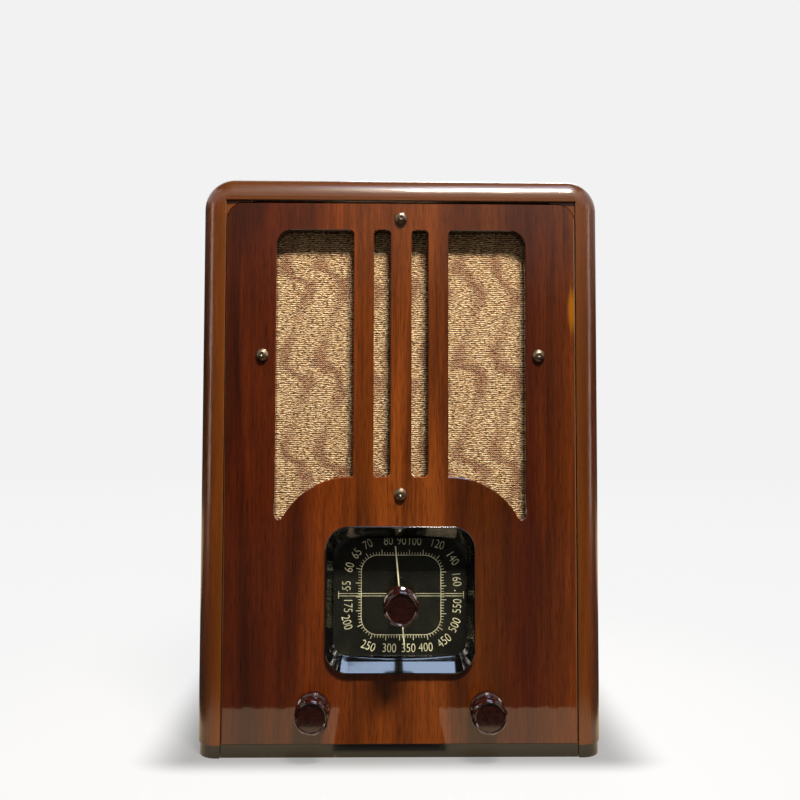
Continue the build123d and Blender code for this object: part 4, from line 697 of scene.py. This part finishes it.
def squared_scale():
    """The ring and the tick marks round it, which Geometry Nodes set along a rounded square."""
    tree = bpy.data.node_groups.new("squared scale", "GeometryNodeTree")
    sizes = {
        "Width": SCALE_WIDTH * MM, "Height": SCALE_HEIGHT * MM, "Corner": SCALE_CORNER * MM, "Line": LINE * MM,
        "Ticks": TICKS, "Long Every": LONG_EVERY, "Short Tick": SHORT_TICK * MM, "Long Tick": LONG_TICK * MM,
    }
    for name, value in sizes.items():
        kind = "NodeSocketInt" if isinstance(value, int) else "NodeSocketFloat"
        tree.interface.new_socket(name, in_out="INPUT", socket_type=kind)
    tree.interface.new_socket("Printing", in_out="OUTPUT", socket_type="NodeSocketGeometry")
    given = add(tree, "NodeGroupInput").outputs

    # three rounded squares: the ring's edges, a line apart, and between them the path of the ticks
    loops = []
    for side in (-1, 1, 0):
        width, height, corner = [
            add(tree, "ShaderNodeMath", {"operation": "MULTIPLY_ADD", 1: side * share}, {0: given["Line"], 2: given[name]})
            for name, share in (("Width", 1.0), ("Height", 1.0), ("Corner", 0.5))
        ]
        square = add(tree, "GeometryNodeCurvePrimitiveQuadrilateral", None,
                     {"Width": width.outputs[0], "Height": height.outputs[0]})
        loops.append(add(tree, "GeometryNodeFilletCurve", {"mode": "POLY", "Count": 12},
                         {"Curve": square.outputs[0], "Radius": corner.outputs[0]}).outputs[0])
    edges = add(tree, "GeometryNodeJoinGeometry", None, {0: loops[0]})
    tree.links.new(loops[1], edges.inputs[0])
    ring = add(tree, "GeometryNodeFillCurve", None, {"Curve": edges.outputs[0]}).outputs[0]

    spots = add(tree, "GeometryNodeCurveToPoints", {"mode": "COUNT"}, {"Curve": loops[2], "Count": given["Ticks"]})
    turned = add(tree, "ShaderNodeMath", {"operation": "MODULO"},
                 {0: add(tree, "GeometryNodeInputIndex").outputs[0], 1: given["Long Every"]}).outputs[0]
    is_short = add(tree, "ShaderNodeMath", {"operation": "GREATER_THAN", 1: 0.5}, {0: turned}).outputs[0]
    length = add(tree, "ShaderNodeMix", {"data_type": "FLOAT"},
                 {0: is_short, 2: given["Long Tick"], 3: given["Short Tick"]}).outputs[0]
    width = add(tree, "ShaderNodeMix", {"data_type": "FLOAT", 2: 1.2, 3: 0.9}, {0: is_short}).outputs[0]
    width = add(tree, "ShaderNodeMath", {"operation": "MULTIPLY"}, {0: width, 1: given["Line"]}).outputs[0]
    tick = add(tree, "GeometryNodeMeshGrid", {"Size X": 1.0, "Size Y": 1.0, "Vertices X": 2, "Vertices Y": 2})
    tick = add(tree, "GeometryNodeTransform", {"Translation": (0.0, 0.5, 0.0)}, {"Geometry": tick.outputs[0]})
    # a tick's own Y axis points away from the middle, square to the path
    tangent = add(tree, "ShaderNodeSeparateXYZ", None, {0: spots.outputs["Tangent"]})
    facing = add(tree, "ShaderNodeMath", {"operation": "ARCTAN2"}, {0: tangent.outputs["Y"], 1: tangent.outputs["X"]})
    facing = add(tree, "ShaderNodeMath", {"operation": "ADD", 1: TICK_TURN}, {0: facing.outputs[0]})
    marks = add(tree, "GeometryNodeInstanceOnPoints", None, {
        "Points": spots.outputs["Points"], "Instance": tick.outputs[0],
        "Rotation": add(tree, "ShaderNodeCombineXYZ", None, {2: facing.outputs[0]}).outputs[0],
        "Scale": add(tree, "ShaderNodeCombineXYZ", {2: 1.0}, {0: width, 1: length}).outputs[0],
    })
    both = add(tree, "GeometryNodeJoinGeometry", None, {0: ring})
    tree.links.new(marks.outputs[0], both.inputs[0])
    upright = add(tree, "GeometryNodeTransform", {
        "Translation": (DIAL_X + PRINT_ASIDE * MM, PRINT_Y, DIAL_Z), "Rotation": (math.pi / 2, 0.0, 0.0),
    }, {"Geometry": both.outputs[0]})
    real = add(tree, "GeometryNodeRealizeInstances", None, {0: upright.outputs[0]})
    inked = add(tree, "GeometryNodeSetMaterial", {"Material": cream}, {"Geometry": real.outputs[0]})
    add(tree, "NodeGroupOutput", None, {0: inked.outputs[0]})

    carrier = bpy.data.objects.new("squared scale", bpy.data.meshes.new("squared scale"))
    bpy.context.scene.collection.objects.link(carrier)
    nodes = carrier.modifiers.new("squared scale", "NODES")
    nodes.node_group = tree
    for item in tree.interface.items_tree:
        if item.in_out == "INPUT":
            nodes[item.identifier] = sizes[item.name]
    depsgraph = bpy.context.evaluated_depsgraph_get()
    mesh = bpy.data.meshes.new_from_object(carrier.evaluated_get(depsgraph))
    bpy.data.objects.remove(carrier)
    return mesh


for z in (-0.75, 0.95):
    for side in (-1, 1):
        print_bar((side * 8.0, z), (side * 44.6, z), 0.34)
for side in (-1, 1):
    print_bar((side * 44.6, -2.6), (side * 44.6, 2.6), 0.4)
    print_bar((side * 38.4, 2.7), (side * 38.4, 3.4), 0.8)

UPPER_NUMBERS = (
    ("55", -39.0, 6.6, 90), ("60", -37.1, 19.5, 75), ("65", -32.0, 29.4, 52), ("70", -24.0, 35.9, 27),
    ("80", -9.2, 38.4, 3), ("90", 0.3, 38.6, 0), ("100", 9.4, 38.3, -2), ("120", 25.8, 36.2, -17),
    ("140", 36.9, 26.2, -57), ("160", 39.8, 11.2, -84),
)
LOWER_NUMBERS = (
    ("175", -37.7, -7.4, -90), ("200", -38.4, -19.3, -75), ("250", -23.2, -35.7, -20), ("300", -8.4, -37.3, -2),
    ("350", 5.3, -37.3, 0), ("400", 17.6, -36.8, 3), ("450", 30.7, -32.1, 38), ("500", 38.1, -21.2, 66),
    ("550", 39.9, -7.9, 86),
)
for number in UPPER_NUMBERS + LOWER_NUMBERS:
    print_number(*number)
scale = squared_scale()
first = len(print_points)
print_points.extend(tuple(vertex.co) for vertex in scale.vertices)
print_faces.extend(tuple(first + index for index in face.vertices) for face in scale.polygons)
printing = piece("dial_printing", print_points, print_faces, cream, "cabinet")


# Pointer
# A double-ended hand of thin sheet, sprayed cream, pressed on the tuning drive's sleeve.

dress(cream, "dial_pointer")


# Dial bracket and lamps
# A folded plate behind the dial that carries it on four posts, the ball drive, and two small
# screw lamps in spring holders.

dress(plated, "dial_bracket", "lamp_sockets")
dress(clear_glass("lamp glass", "#fdfdf8", 0.02), "dial_lamps")


# Knobs
# Dark maroon phenolic, compression moulded: a round foot, a waist and an eight-sided grip with
# a dished face. The moulding powder leaves faint swirls under the polish.

material, tree, shader = finish("maroon moulded phenolic", {
    "IOR": 1.6, "Coat Weight": 0.4, "Coat Roughness": 0.05, "Specular IOR Level": 0.3,
})
place = add(tree, "ShaderNodeTexCoord").outputs["Object"]
swirl = add(tree, "ShaderNodeTexNoise", {"Scale": 1 / (7 * MM), "Detail": 5.0, "Distortion": 2.5},
            {"Vector": place}).outputs["Fac"]
powder = add(tree, "ShaderNodeValToRGB", {"stops": [(0.35, "#170503"), (0.52, "#240a07"), (0.72, "#34110b")]},
             {0: swirl})
tree.links.new(powder.outputs[0], shader.inputs["Base Color"])
wear = add(tree, "ShaderNodeTexNoise", {"Scale": 1 / (2 * MM), "Detail": 5.0, "Roughness": 0.7}, {"Vector": place})
rough = add(tree, "ShaderNodeMapRange", {"From Min": 0.35, "From Max": 0.75, "To Min": 0.08, "To Max": 0.18},
            {0: wear.outputs["Fac"]})
tree.links.new(rough.outputs[0], shader.inputs["Roughness"])
relief = add(tree, "ShaderNodeBump", {"Strength": 0.1, "Distance": 0.06 * MM}, {"Height": wear.outputs["Fac"]})
tree.links.new(relief.outputs[0], shader.inputs["Normal"])
dress(material, "tuning_knob", "volume_knob", "tone_knob")

turned_steel = worn_metal("turned steel", ("#7f7d79", "#a3a19c"), 0.28, 0.5, (1, 8, 1))
dress(turned_steel, "tuning_shaft", "volume_shaft", "tone_shaft", "drive_balls")


# Ball drive
# Turned brass: a fixed race riveted to the bracket, and a cage with a sleeve that turns one
# sixth as far as the knob.

brass = worn_metal("turned brass", ("#6d5222", "#9d7c3a", "#b8954c"), 0.3, 0.5, (1, 8, 1))
dress(brass, "drive_body", "drive_carrier")


# Tuning capacitor
# A folded frame of plated steel, a shaft with half-round aluminium vanes, and fixed vanes held
# by two bars in white ceramic blocks.

dress(plated, "gang_frame")
vanes = worn_metal("sheet aluminium", ("#8c8d8d", "#a9aaaa", "#bdbdbb"), 0.35, 0.6, (1, 1, 5))
dress(vanes, "gang_rotor", "gang_stators")

material, tree, shader = finish("white ceramic", {"Roughness": 0.5, "IOR": 1.55})
place = add(tree, "ShaderNodeTexCoord").outputs["Object"]
grime = add(tree, "ShaderNodeTexNoise", {"Scale": 1 / (4 * MM), "Detail": 5.0}, {"Vector": place}).outputs["Fac"]
body = add(tree, "ShaderNodeValToRGB", {"stops": [(0.3, "#a79c85"), (0.55, "#d6cfbd")]}, {0: grime})
tree.links.new(body.outputs[0], shader.inputs["Base Color"])
dress(material, "stator_insulators")


# Chassis
# A pan of folded steel, cadmium plated, which has gone dull and cloudy. A rubber grommet takes
# the mains cord, and a brown board carries the aerial and earth terminals.

dress(worn_metal("dull cadmium plating", ("#6f6c62", "#8e8a7d", "#a39e8e"), 0.5, 1.2), "chassis_pan")
dress(plated, "control_bodies")

material, tree, shader = finish("black rubber", {"Roughness": 0.75, "IOR": 1.5})
place = add(tree, "ShaderNodeTexCoord").outputs["Object"]
bloom = add(tree, "ShaderNodeTexNoise", {"Scale": 1 / (3 * MM), "Detail": 4.0}, {"Vector": place}).outputs["Fac"]
rubber = add(tree, "ShaderNodeValToRGB", {"stops": [(0.35, "#141414"), (0.7, "#2e2c2a")]}, {0: bloom})
tree.links.new(rubber.outputs[0], shader.inputs["Base Color"])
dress(material, "cord_grommet")

material, tree, shader = finish("brown laminated board", {"Roughness": 0.35, "IOR": 1.55})
place = add(tree, "ShaderNodeTexCoord").outputs["Object"]
sheet = add(tree, "ShaderNodeTexNoise", {"Scale": 1 / (3 * MM), "Detail": 4.0}, {"Vector": place}).outputs["Fac"]
board = add(tree, "ShaderNodeValToRGB", {"stops": [(0.3, "#3a1c0a"), (0.7, "#6d3a16")]}, {0: sheet})
tree.links.new(board.outputs[0], shader.inputs["Base Color"])
dress(material, "aerial_terminals", "tube_sockets")


# Valves
# Blown glass bulbs cemented in black phenolic bases. Inside, a dark nickel anode stands on its
# support wires between two mica plates. A silvery film of getter coats the top; its material is made but put on
# nothing.

BASE_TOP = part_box("small_tubes")[0][2]

material, tree, shader = finish("black phenolic base", {"Roughness": 0.35, "IOR": 1.55})
place = add(tree, "ShaderNodeTexCoord").outputs["Object"]
scuffs = add(tree, "ShaderNodeTexNoise", {"Scale": 1 / (3 * MM), "Detail": 5.0}, {"Vector": place}).outputs["Fac"]
phenolic = add(tree, "ShaderNodeValToRGB", {"stops": [(0.35, "#0e0b0a"), (0.75, "#2b231d")]}, {0: scuffs})
tree.links.new(phenolic.outputs[0], shader.inputs["Base Color"])
dress(material, "tube_bases")
dress(clear_glass("bulb glass", "#f6f8f4", 0.01), "small_tubes", "large_tubes")

anode = worn_metal("carbonised nickel", ("#2a2a2b", "#3f3f40"), 0.5, 0.6)
support = worn_metal("nickel wire", ("#7d7a73", "#a09c92"), 0.35, 0.5)
getter = worn_metal("getter film", ("#5d5c5a", "#8f8f8e", "#b9b9b8"), 0.12, 2.0)
mica, tree, shader = finish("mica sheet", {"Base Color": linear("#cfc6a8"), "Roughness": 0.3, "IOR": 1.58})
place = add(tree, "ShaderNodeTexCoord").outputs["Object"]
flakes = add(tree, "ShaderNodeTexNoise", {"Scale": 1 / (2 * MM), "Detail": 3.0}, {"Vector": place}).outputs["Fac"]
relief = add(tree, "ShaderNodeBump", {"Strength": 0.3, "Distance": 0.1 * MM}, {"Height": flakes})
tree.links.new(relief.outputs[0], shader.inputs["Normal"])


def lathe(name, profile, x, y, material, steps=48):
    """A closed shape turned about an upright axis. The profile's points are radius and height, from the
    bottom up, and a radius of 0 closes an end."""
    mesh = bmesh.new()
    rings = []
    for radius, height in profile:
        if radius == 0:
            rings.append([mesh.verts.new((x, y, height))])
            continue
        ring = []
        for step in range(steps):
            angle = 2 * math.pi * step / steps
            ring.append(mesh.verts.new((x + radius * math.cos(angle), y + radius * math.sin(angle), height)))
        rings.append(ring)
    for low_ring, high_ring in zip(rings, rings[1:]):
        for step in range(steps):
            after = (step + 1) % steps
            if len(low_ring) == 1:
                mesh.faces.new((low_ring[0], high_ring[after], high_ring[step]))
            elif len(high_ring) == 1:
                mesh.faces.new((low_ring[step], low_ring[after], high_ring[0]))
            else:
                mesh.faces.new((low_ring[step], low_ring[after], high_ring[after], high_ring[step]))
    for ring in (rings[0], rings[-1]):
        if len(ring) > 1:
            mesh.faces.new(ring)
    bmesh.ops.recalc_face_normals(mesh, faces=mesh.faces)
    data = bpy.data.meshes.new(name)
    mesh.to_mesh(data)
    mesh.free()
    data.materials.append(material)
    made = bpy.data.objects.new(name, data)
    bpy.context.scene.collection.objects.link(made)
    return made


def join(name, parts, body):
    """Several meshes made one piece, which rides on a body."""
    mesh = bmesh.new()
    materials = []
    for part in parts:
        first = len(mesh.faces)
        mesh.from_mesh(part.data)
        mesh.faces.ensure_lookup_table()
        if part.data.materials[0] not in materials:
            materials.append(part.data.materials[0])
        for face in mesh.faces[first:]:
            face.material_index = materials.index(part.data.materials[0])
        bpy.data.objects.remove(part)
    data = bpy.data.meshes.new(name)
    mesh.to_mesh(data)
    mesh.free()
    for one in materials:
        data.materials.append(one)
    made = bpy.data.objects.new(name, data)
    bpy.context.scene.collection.objects.link(made)
    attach(made, body)
    return made


def loose_parts(node):
    """The lowest and highest corner of each separate solid in a CAD node."""
    mesh = bmesh.new()
    mesh.from_mesh(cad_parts[node].data)
    bmesh.ops.remove_doubles(mesh, verts=mesh.verts, dist=0.001 * MM)
    waiting = set(mesh.verts)
    boxes = []
    while waiting:
        group = [waiting.pop()]
        for vert in group:
            for edge in vert.link_edges:
                other = edge.other_vert(vert)
                if other in waiting:
                    waiting.remove(other)
                    group.append(other)
        spots = [v.co for v in group]
        low = Vector([min(s[i] for s in spots) for i in range(3)])
        high = Vector([max(s[i] for s in spots) for i in range(3)])
        boxes.append((low, high))
    mesh.free()
    return sorted(boxes, key=lambda box: (round(box[0].x, 4), round(box[0].y, 4)))


def electrodes(name, x, y, low, high, anode_radius):
    """What stands in one bulb: a glass pinch, wires, mica plates and the anode."""
    height = high - low
    anode_low = low + 0.20 * height
    anode_high = low + 0.62 * height
    mica_radius = anode_radius + 3.2 * MM
    parts = [
        lathe("pinch", [(7.5 * MM, low + 0.5 * MM), (4.5 * MM, low + 0.06 * height),
                        (2.5 * MM, low + 0.13 * height), (0, low + 0.135 * height)], x, y, mica),
        lathe("anode", [(anode_radius, anode_low), (anode_radius + 0.5 * MM, anode_low + 0.6 * MM),
                        (anode_radius + 0.5 * MM, anode_low + 1.6 * MM), (anode_radius, anode_low + 2.2 * MM),
                        (anode_radius, anode_high - 2.2 * MM), (anode_radius + 0.5 * MM, anode_high - 1.6 * MM),
                        (anode_radius + 0.5 * MM, anode_high - 0.6 * MM), (anode_radius, anode_high)],
              x, y, anode),
    ]
    for plate in (anode_low - 1.2 * MM, anode_high + 0.8 * MM):
        parts.append(lathe("mica", [(mica_radius, plate), (mica_radius, plate + 0.4 * MM)], x, y, mica, 24))
    for turn in range(4):
        angle = math.pi / 4 + turn * math.pi / 2
        wire_x = x + 3.6 * MM * math.cos(angle)
        wire_y = y + 3.6 * MM * math.sin(angle)
        parts.append(lathe("wire", [(0.45 * MM, low + 0.10 * height), (0.45 * MM, anode_high + 5 * MM)],
                           wire_x, wire_y, support, 10))
    return join(name, parts, "cabinet")


bulbs = [(box, 8.2 * MM) for box in loose_parts("small_tubes")] + [(box, 10.5 * MM) for box in loose_parts("large_tubes")]
for index, ((low, high), radius) in enumerate(bulbs):
    middle = (low + high) / 2
    electrodes(f"valve_electrodes_{index + 1}", middle.x, middle.y, low.z, high.z, radius)


# Cans and filter capacitor
# Spun and drawn aluminium screens over the coils and over the capacitor, dull with fingerprints.

drawn = worn_metal("drawn aluminium", ("#83857f", "#a3a59f", "#b4b5b0"), 0.42, 1.0, (1, 1, 0.08))
dress(drawn, "if_cans", "aerial_coil_can", "filter_capacitor")


# Power transformer covers
# Two pressed steel end bells in gloss black over the windings.

dress(black_paint("gloss black paint", 0.25, "#2e2b27"), "transformer_covers")


# Floor, light and camera
# A pale floor that fades into a white surround. One crisp lamp stands high in front, a little
# to the right, with a soft ceiling light, and a dark curtain hangs behind the camera.

CAMERA_PLACE = (-13.0 * MM, RIM_FRONT - 562.6 * MM, 234.0 * MM)
CAMERA_PITCH = 2.45
CAMERA_YAW = 0.85
CAMERA_ROLL = -0.17
FOCAL_MM = 36.03
SHIFT = (0.0073, -0.019)
FOOTPRINT = (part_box("side_panel_right")[1][0], -RIM_FRONT, 0.0)
SHADOW_SPREAD = (1 / (48 * MM), 1 / (28 * MM), 0.0)

floor = bpy.data.objects.new("floor", bpy.data.meshes.new("floor"))
size = 4.0
floor.data.from_pydata([(-size, -size, 0), (size, -size, 0), (size, size, 0), (-size, size, 0)], [], [(0, 1, 2, 3)])
bpy.context.scene.collection.objects.link(floor)
material, tree, shader = finish("pale floor", {"Base Color": linear("#ececea"), "Roughness": 0.7})
place = add(tree, "ShaderNodeTexCoord").outputs["Object"]
distance = add(tree, "ShaderNodeVectorMath", {"operation": "LENGTH"}, {0: place}).outputs["Value"]
fade = add(tree, "ShaderNodeMapRange", {
    "interpolation_type": "SMOOTHSTEP", "From Min": 0.2, "From Max": 0.5, "To Min": 0.92, "To Max": 1.0,
}, {0: distance})
# the soft shadow where the cabinet meets the floor: narrow in front, wider at the sides
outside = add(tree, "ShaderNodeVectorMath", {"operation": "ABSOLUTE"}, {0: place}).outputs[0]
outside = add(tree, "ShaderNodeVectorMath", {"operation": "SUBTRACT", 1: FOOTPRINT}, {0: outside}).outputs[0]
outside = add(tree, "ShaderNodeVectorMath", {"operation": "MAXIMUM", 1: (0.0, 0.0, 0.0)}, {0: outside}).outputs[0]
outside = add(tree, "ShaderNodeVectorMath", {"operation": "MULTIPLY", 1: SHADOW_SPREAD}, {0: outside}).outputs[0]
outside = add(tree, "ShaderNodeVectorMath", {"operation": "LENGTH"}, {0: outside}).outputs["Value"]
contact = add(tree, "ShaderNodeMapRange", {"interpolation_type": "SMOOTHSTEP", "To Min": 0.4, "To Max": 1.0},
              {0: outside}).outputs[0]
mirrored = add(tree, "ShaderNodeLightPath").outputs["Is Glossy Ray"]
far_off = add(tree, "ShaderNodeMapRange", {"From Min": 0.3, "From Max": 3.0}, {0: distance})
paler = add(tree, "ShaderNodeMix", {"data_type": "RGBA", A: linear("#f6f6f6"), B: linear("#f2f2f2")},
            {FACTOR: far_off.outputs[0]}).outputs[MIXED]
tint = add(tree, "ShaderNodeMix", {"data_type": "RGBA", B: linear("#ffe0b4")},
           {FACTOR: mirrored, A: paler}).outputs[MIXED]
strength = add(tree, "ShaderNodeMath", {"operation": "MULTIPLY_ADD", 1: 0.4}, {0: mirrored, 2: contact})
white = add(tree, "ShaderNodeEmission", None, {"Color": tint, "Strength": strength.outputs[0]})
light_path = add(tree, "ShaderNodeLightPath")
seen = add(tree, "ShaderNodeMath", {"operation": "MAXIMUM"},
           {0: light_path.outputs["Is Camera Ray"], 1: light_path.outputs["Is Glossy Ray"]}).outputs[0]
seen = add(tree, "ShaderNodeMath", {"operation": "MAXIMUM"},
           {0: seen, 1: light_path.outputs["Is Transmission Ray"]}).outputs[0]
faded = add(tree, "ShaderNodeMath", {"operation": "MULTIPLY"}, {0: fade.outputs[0], 1: seen}).outputs[0]
surface = add(tree, "ShaderNodeMixShader", None, {0: faded, 1: shader.outputs[0], 2: white.outputs[0]})
tree.links.new(surface.outputs[0], tree.nodes["Material Output"].inputs["Surface"])
floor.data.materials.append(material)
floor.visible_diffuse = False

world = bpy.data.worlds.new("studio")
world.use_nodes = True
bpy.context.scene.world = world
tree = world.node_tree
tree.nodes.clear()
light_path = add(tree, "ShaderNodeLightPath")
seen = add(tree, "ShaderNodeMath", {"operation": "MAXIMUM"},
           {0: light_path.outputs["Is Camera Ray"], 1: light_path.outputs["Is Glossy Ray"]}).outputs[0]
seen = add(tree, "ShaderNodeMath", {"operation": "MAXIMUM"},
           {0: seen, 1: light_path.outputs["Is Transmission Ray"]}).outputs[0]
surround = add(tree, "ShaderNodeBackground", {"Color": linear("#f2f2f2"), "Strength": 1.0})
soft = add(tree, "ShaderNodeBackground", {"Color": linear("#ffeedd"), "Strength": 0.13})
both = add(tree, "ShaderNodeMixShader", None, {0: seen, 1: soft.outputs[0], 2: surround.outputs[0]})
add(tree, "ShaderNodeOutputWorld", None, {0: both.outputs[0]})


def lamp(name, place, target, size, power, colour="#ffffff"):
    """A square area lamp that faces its target."""
    light = bpy.data.lights.new(name, "AREA")
    light.shape = "RECTANGLE"
    light.size, light.size_y = size
    light.energy = power
    light.color = linear(colour)[:3]
    made = bpy.data.objects.new(name, light)
    made.location = place
    made.rotation_euler = (Vector(target) - Vector(place)).to_track_quat("-Z", "Y").to_euler()
    bpy.context.scene.collection.objects.link(made)
    return made


lamp("key", (0.30, -0.88, 1.72), (0, -0.08, 0.22), (0.45, 0.16), 65, "#fff2e0")
lamp("ceiling", (0.28, -0.42, 1.7), (0.22, -0.32, 0.2), (0.85, 0.5), 9, "#c4dcff")
lamp("back", (0.3, 1.6, 1.2), (0, 0.1, 0.2), (0.8, 0.8), 16)

CURTAIN_RADIUS = 1.5
CURTAIN_TOP = 0.95
SLIT_X = 1.39
SLIT_HALF_WIDTH = 0.03
CEILING_FLAG = 2.0
FLAG_EDGE = RIM_FRONT - 92 * MM
FLAG_LEFT = -47 * MM
FLAG_RIGHT = 33 * MM
FLAG_SIDE = 200 * MM


def dark_flag(name, points, faces):
    """A black cloth that only reflections see, so that the lacquer and the bezel stay deep."""
    flag = bpy.data.objects.new(name, bpy.data.meshes.new(name))
    flag.data.from_pydata(points, [], faces)
    bpy.context.scene.collection.objects.link(flag)
    flag.data.materials.append(black_cloth)
    flag.visible_camera = False
    flag.visible_diffuse = False
    flag.visible_shadow = False


black_cloth, tree, shader = finish("black cloth", {"Base Color": linear("#101010"), "Roughness": 0.95})
height = add(tree, "ShaderNodeSeparateXYZ", None, {0: add(tree, "ShaderNodeTexCoord").outputs["Object"]})
glow = add(tree, "ShaderNodeMapRange", {"From Min": 0.5, "From Max": CURTAIN_TOP}, {0: height.outputs["Z"]})
below = add(tree, "ShaderNodeMath", {"operation": "LESS_THAN", 1: 1.01 * CURTAIN_TOP}, {0: height.outputs["Z"]})
glow = add(tree, "ShaderNodeMath", {"operation": "MULTIPLY"}, {0: glow.outputs[0], 1: below.outputs[0]})
rightwards = add(tree, "ShaderNodeMapRange", {"From Min": -0.5, "From Max": 0.5, "To Min": 0.1, "To Max": 0.9},
                 {0: height.outputs["X"]})
glow = add(tree, "ShaderNodeMath", {"operation": "MULTIPLY"}, {0: glow.outputs[0], 1: rightwards.outputs[0]})
# two slits, far out to the sides, put a streak down each side of the rim
aside = add(tree, "ShaderNodeMath", {"operation": "ABSOLUTE"}, {0: height.outputs["X"]}).outputs[0]
slit = add(tree, "ShaderNodeMath", {"operation": "COMPARE", 1: SLIT_X, 2: SLIT_HALF_WIDTH}, {0: aside}).outputs[0]
ahead = add(tree, "ShaderNodeMath", {"operation": "LESS_THAN", 1: 0.0}, {0: height.outputs["Y"]}).outputs[0]
slit = add(tree, "ShaderNodeMath", {"operation": "MULTIPLY"}, {0: slit, 1: ahead}).outputs[0]
glow = add(tree, "ShaderNodeMath", {"operation": "MULTIPLY_ADD", 1: 7.0}, {0: slit, 2: glow.outputs[0]})
tree.links.new(glow.outputs[0], shader.inputs["Emission Strength"])
shader.inputs["Emission Color"].default_value = linear("#fff4e6")
for name, first, last in (("curtain", 95, 445),):
    steps = (last - first) // 5
    curtain_points = []
    for step in range(steps + 1):
        angle = math.radians(first + 5 * step)
        for z in (0.001, CURTAIN_TOP):
            curtain_points.append((CURTAIN_RADIUS * math.cos(angle), CURTAIN_RADIUS * math.sin(angle), z))
    dark_flag(name, curtain_points, [(2 * step, 2 * step + 1, 2 * step + 3, 2 * step + 2) for step in range(steps)])
dark_flag("ceiling_flag", [
    (-CURTAIN_RADIUS, -0.8 * CURTAIN_RADIUS, CEILING_FLAG), (CURTAIN_RADIUS, -0.8 * CURTAIN_RADIUS, CEILING_FLAG),
    (CURTAIN_RADIUS, CURTAIN_RADIUS, CEILING_FLAG), (-CURTAIN_RADIUS, CURTAIN_RADIUS, CEILING_FLAG),
], [(0, 1, 2, 3)])
dark_flag("far_floor_flag", [
    (-CURTAIN_RADIUS, -CURTAIN_RADIUS, 0.001), (CURTAIN_RADIUS, -CURTAIN_RADIUS, 0.001),
    (CURTAIN_RADIUS, FLAG_EDGE, 0.001), (-CURTAIN_RADIUS, FLAG_EDGE, 0.001),
], [(0, 1, 2, 3)])
dark_flag("near_floor_flag", [
    (FLAG_LEFT, FLAG_EDGE, 0.001), (FLAG_RIGHT, FLAG_EDGE, 0.001),
    (FLAG_RIGHT, RIM_FRONT - 6 * MM, 0.001), (FLAG_LEFT, RIM_FRONT - 6 * MM, 0.001),
], [(0, 1, 2, 3)])
for name, side in (("left_floor_flag", -1), ("right_floor_flag", 1)):
    dark_flag(name, [
        (side * FLAG_SIDE, FLAG_EDGE, 0.001), (side * CURTAIN_RADIUS, FLAG_EDGE, 0.001),
        (side * CURTAIN_RADIUS, 0.3, 0.001), (side * FLAG_SIDE, 0.3, 0.001),
    ], [(0, 1, 2, 3)])

camera = bpy.data.objects.new("camera", bpy.data.cameras.new("camera"))
camera.data.sensor_width = 36.0
camera.data.lens = FOCAL_MM
camera.data.shift_x, camera.data.shift_y = SHIFT
camera.data.clip_start = 0.01
camera.location = CAMERA_PLACE
camera.rotation_euler = (
    math.radians(90 + CAMERA_PITCH), math.radians(CAMERA_ROLL), math.radians(-CAMERA_YAW)
)
bpy.context.scene.collection.objects.link(camera)
bpy.context.scene.camera = camera
bpy.context.scene.view_settings.view_transform = "Standard"
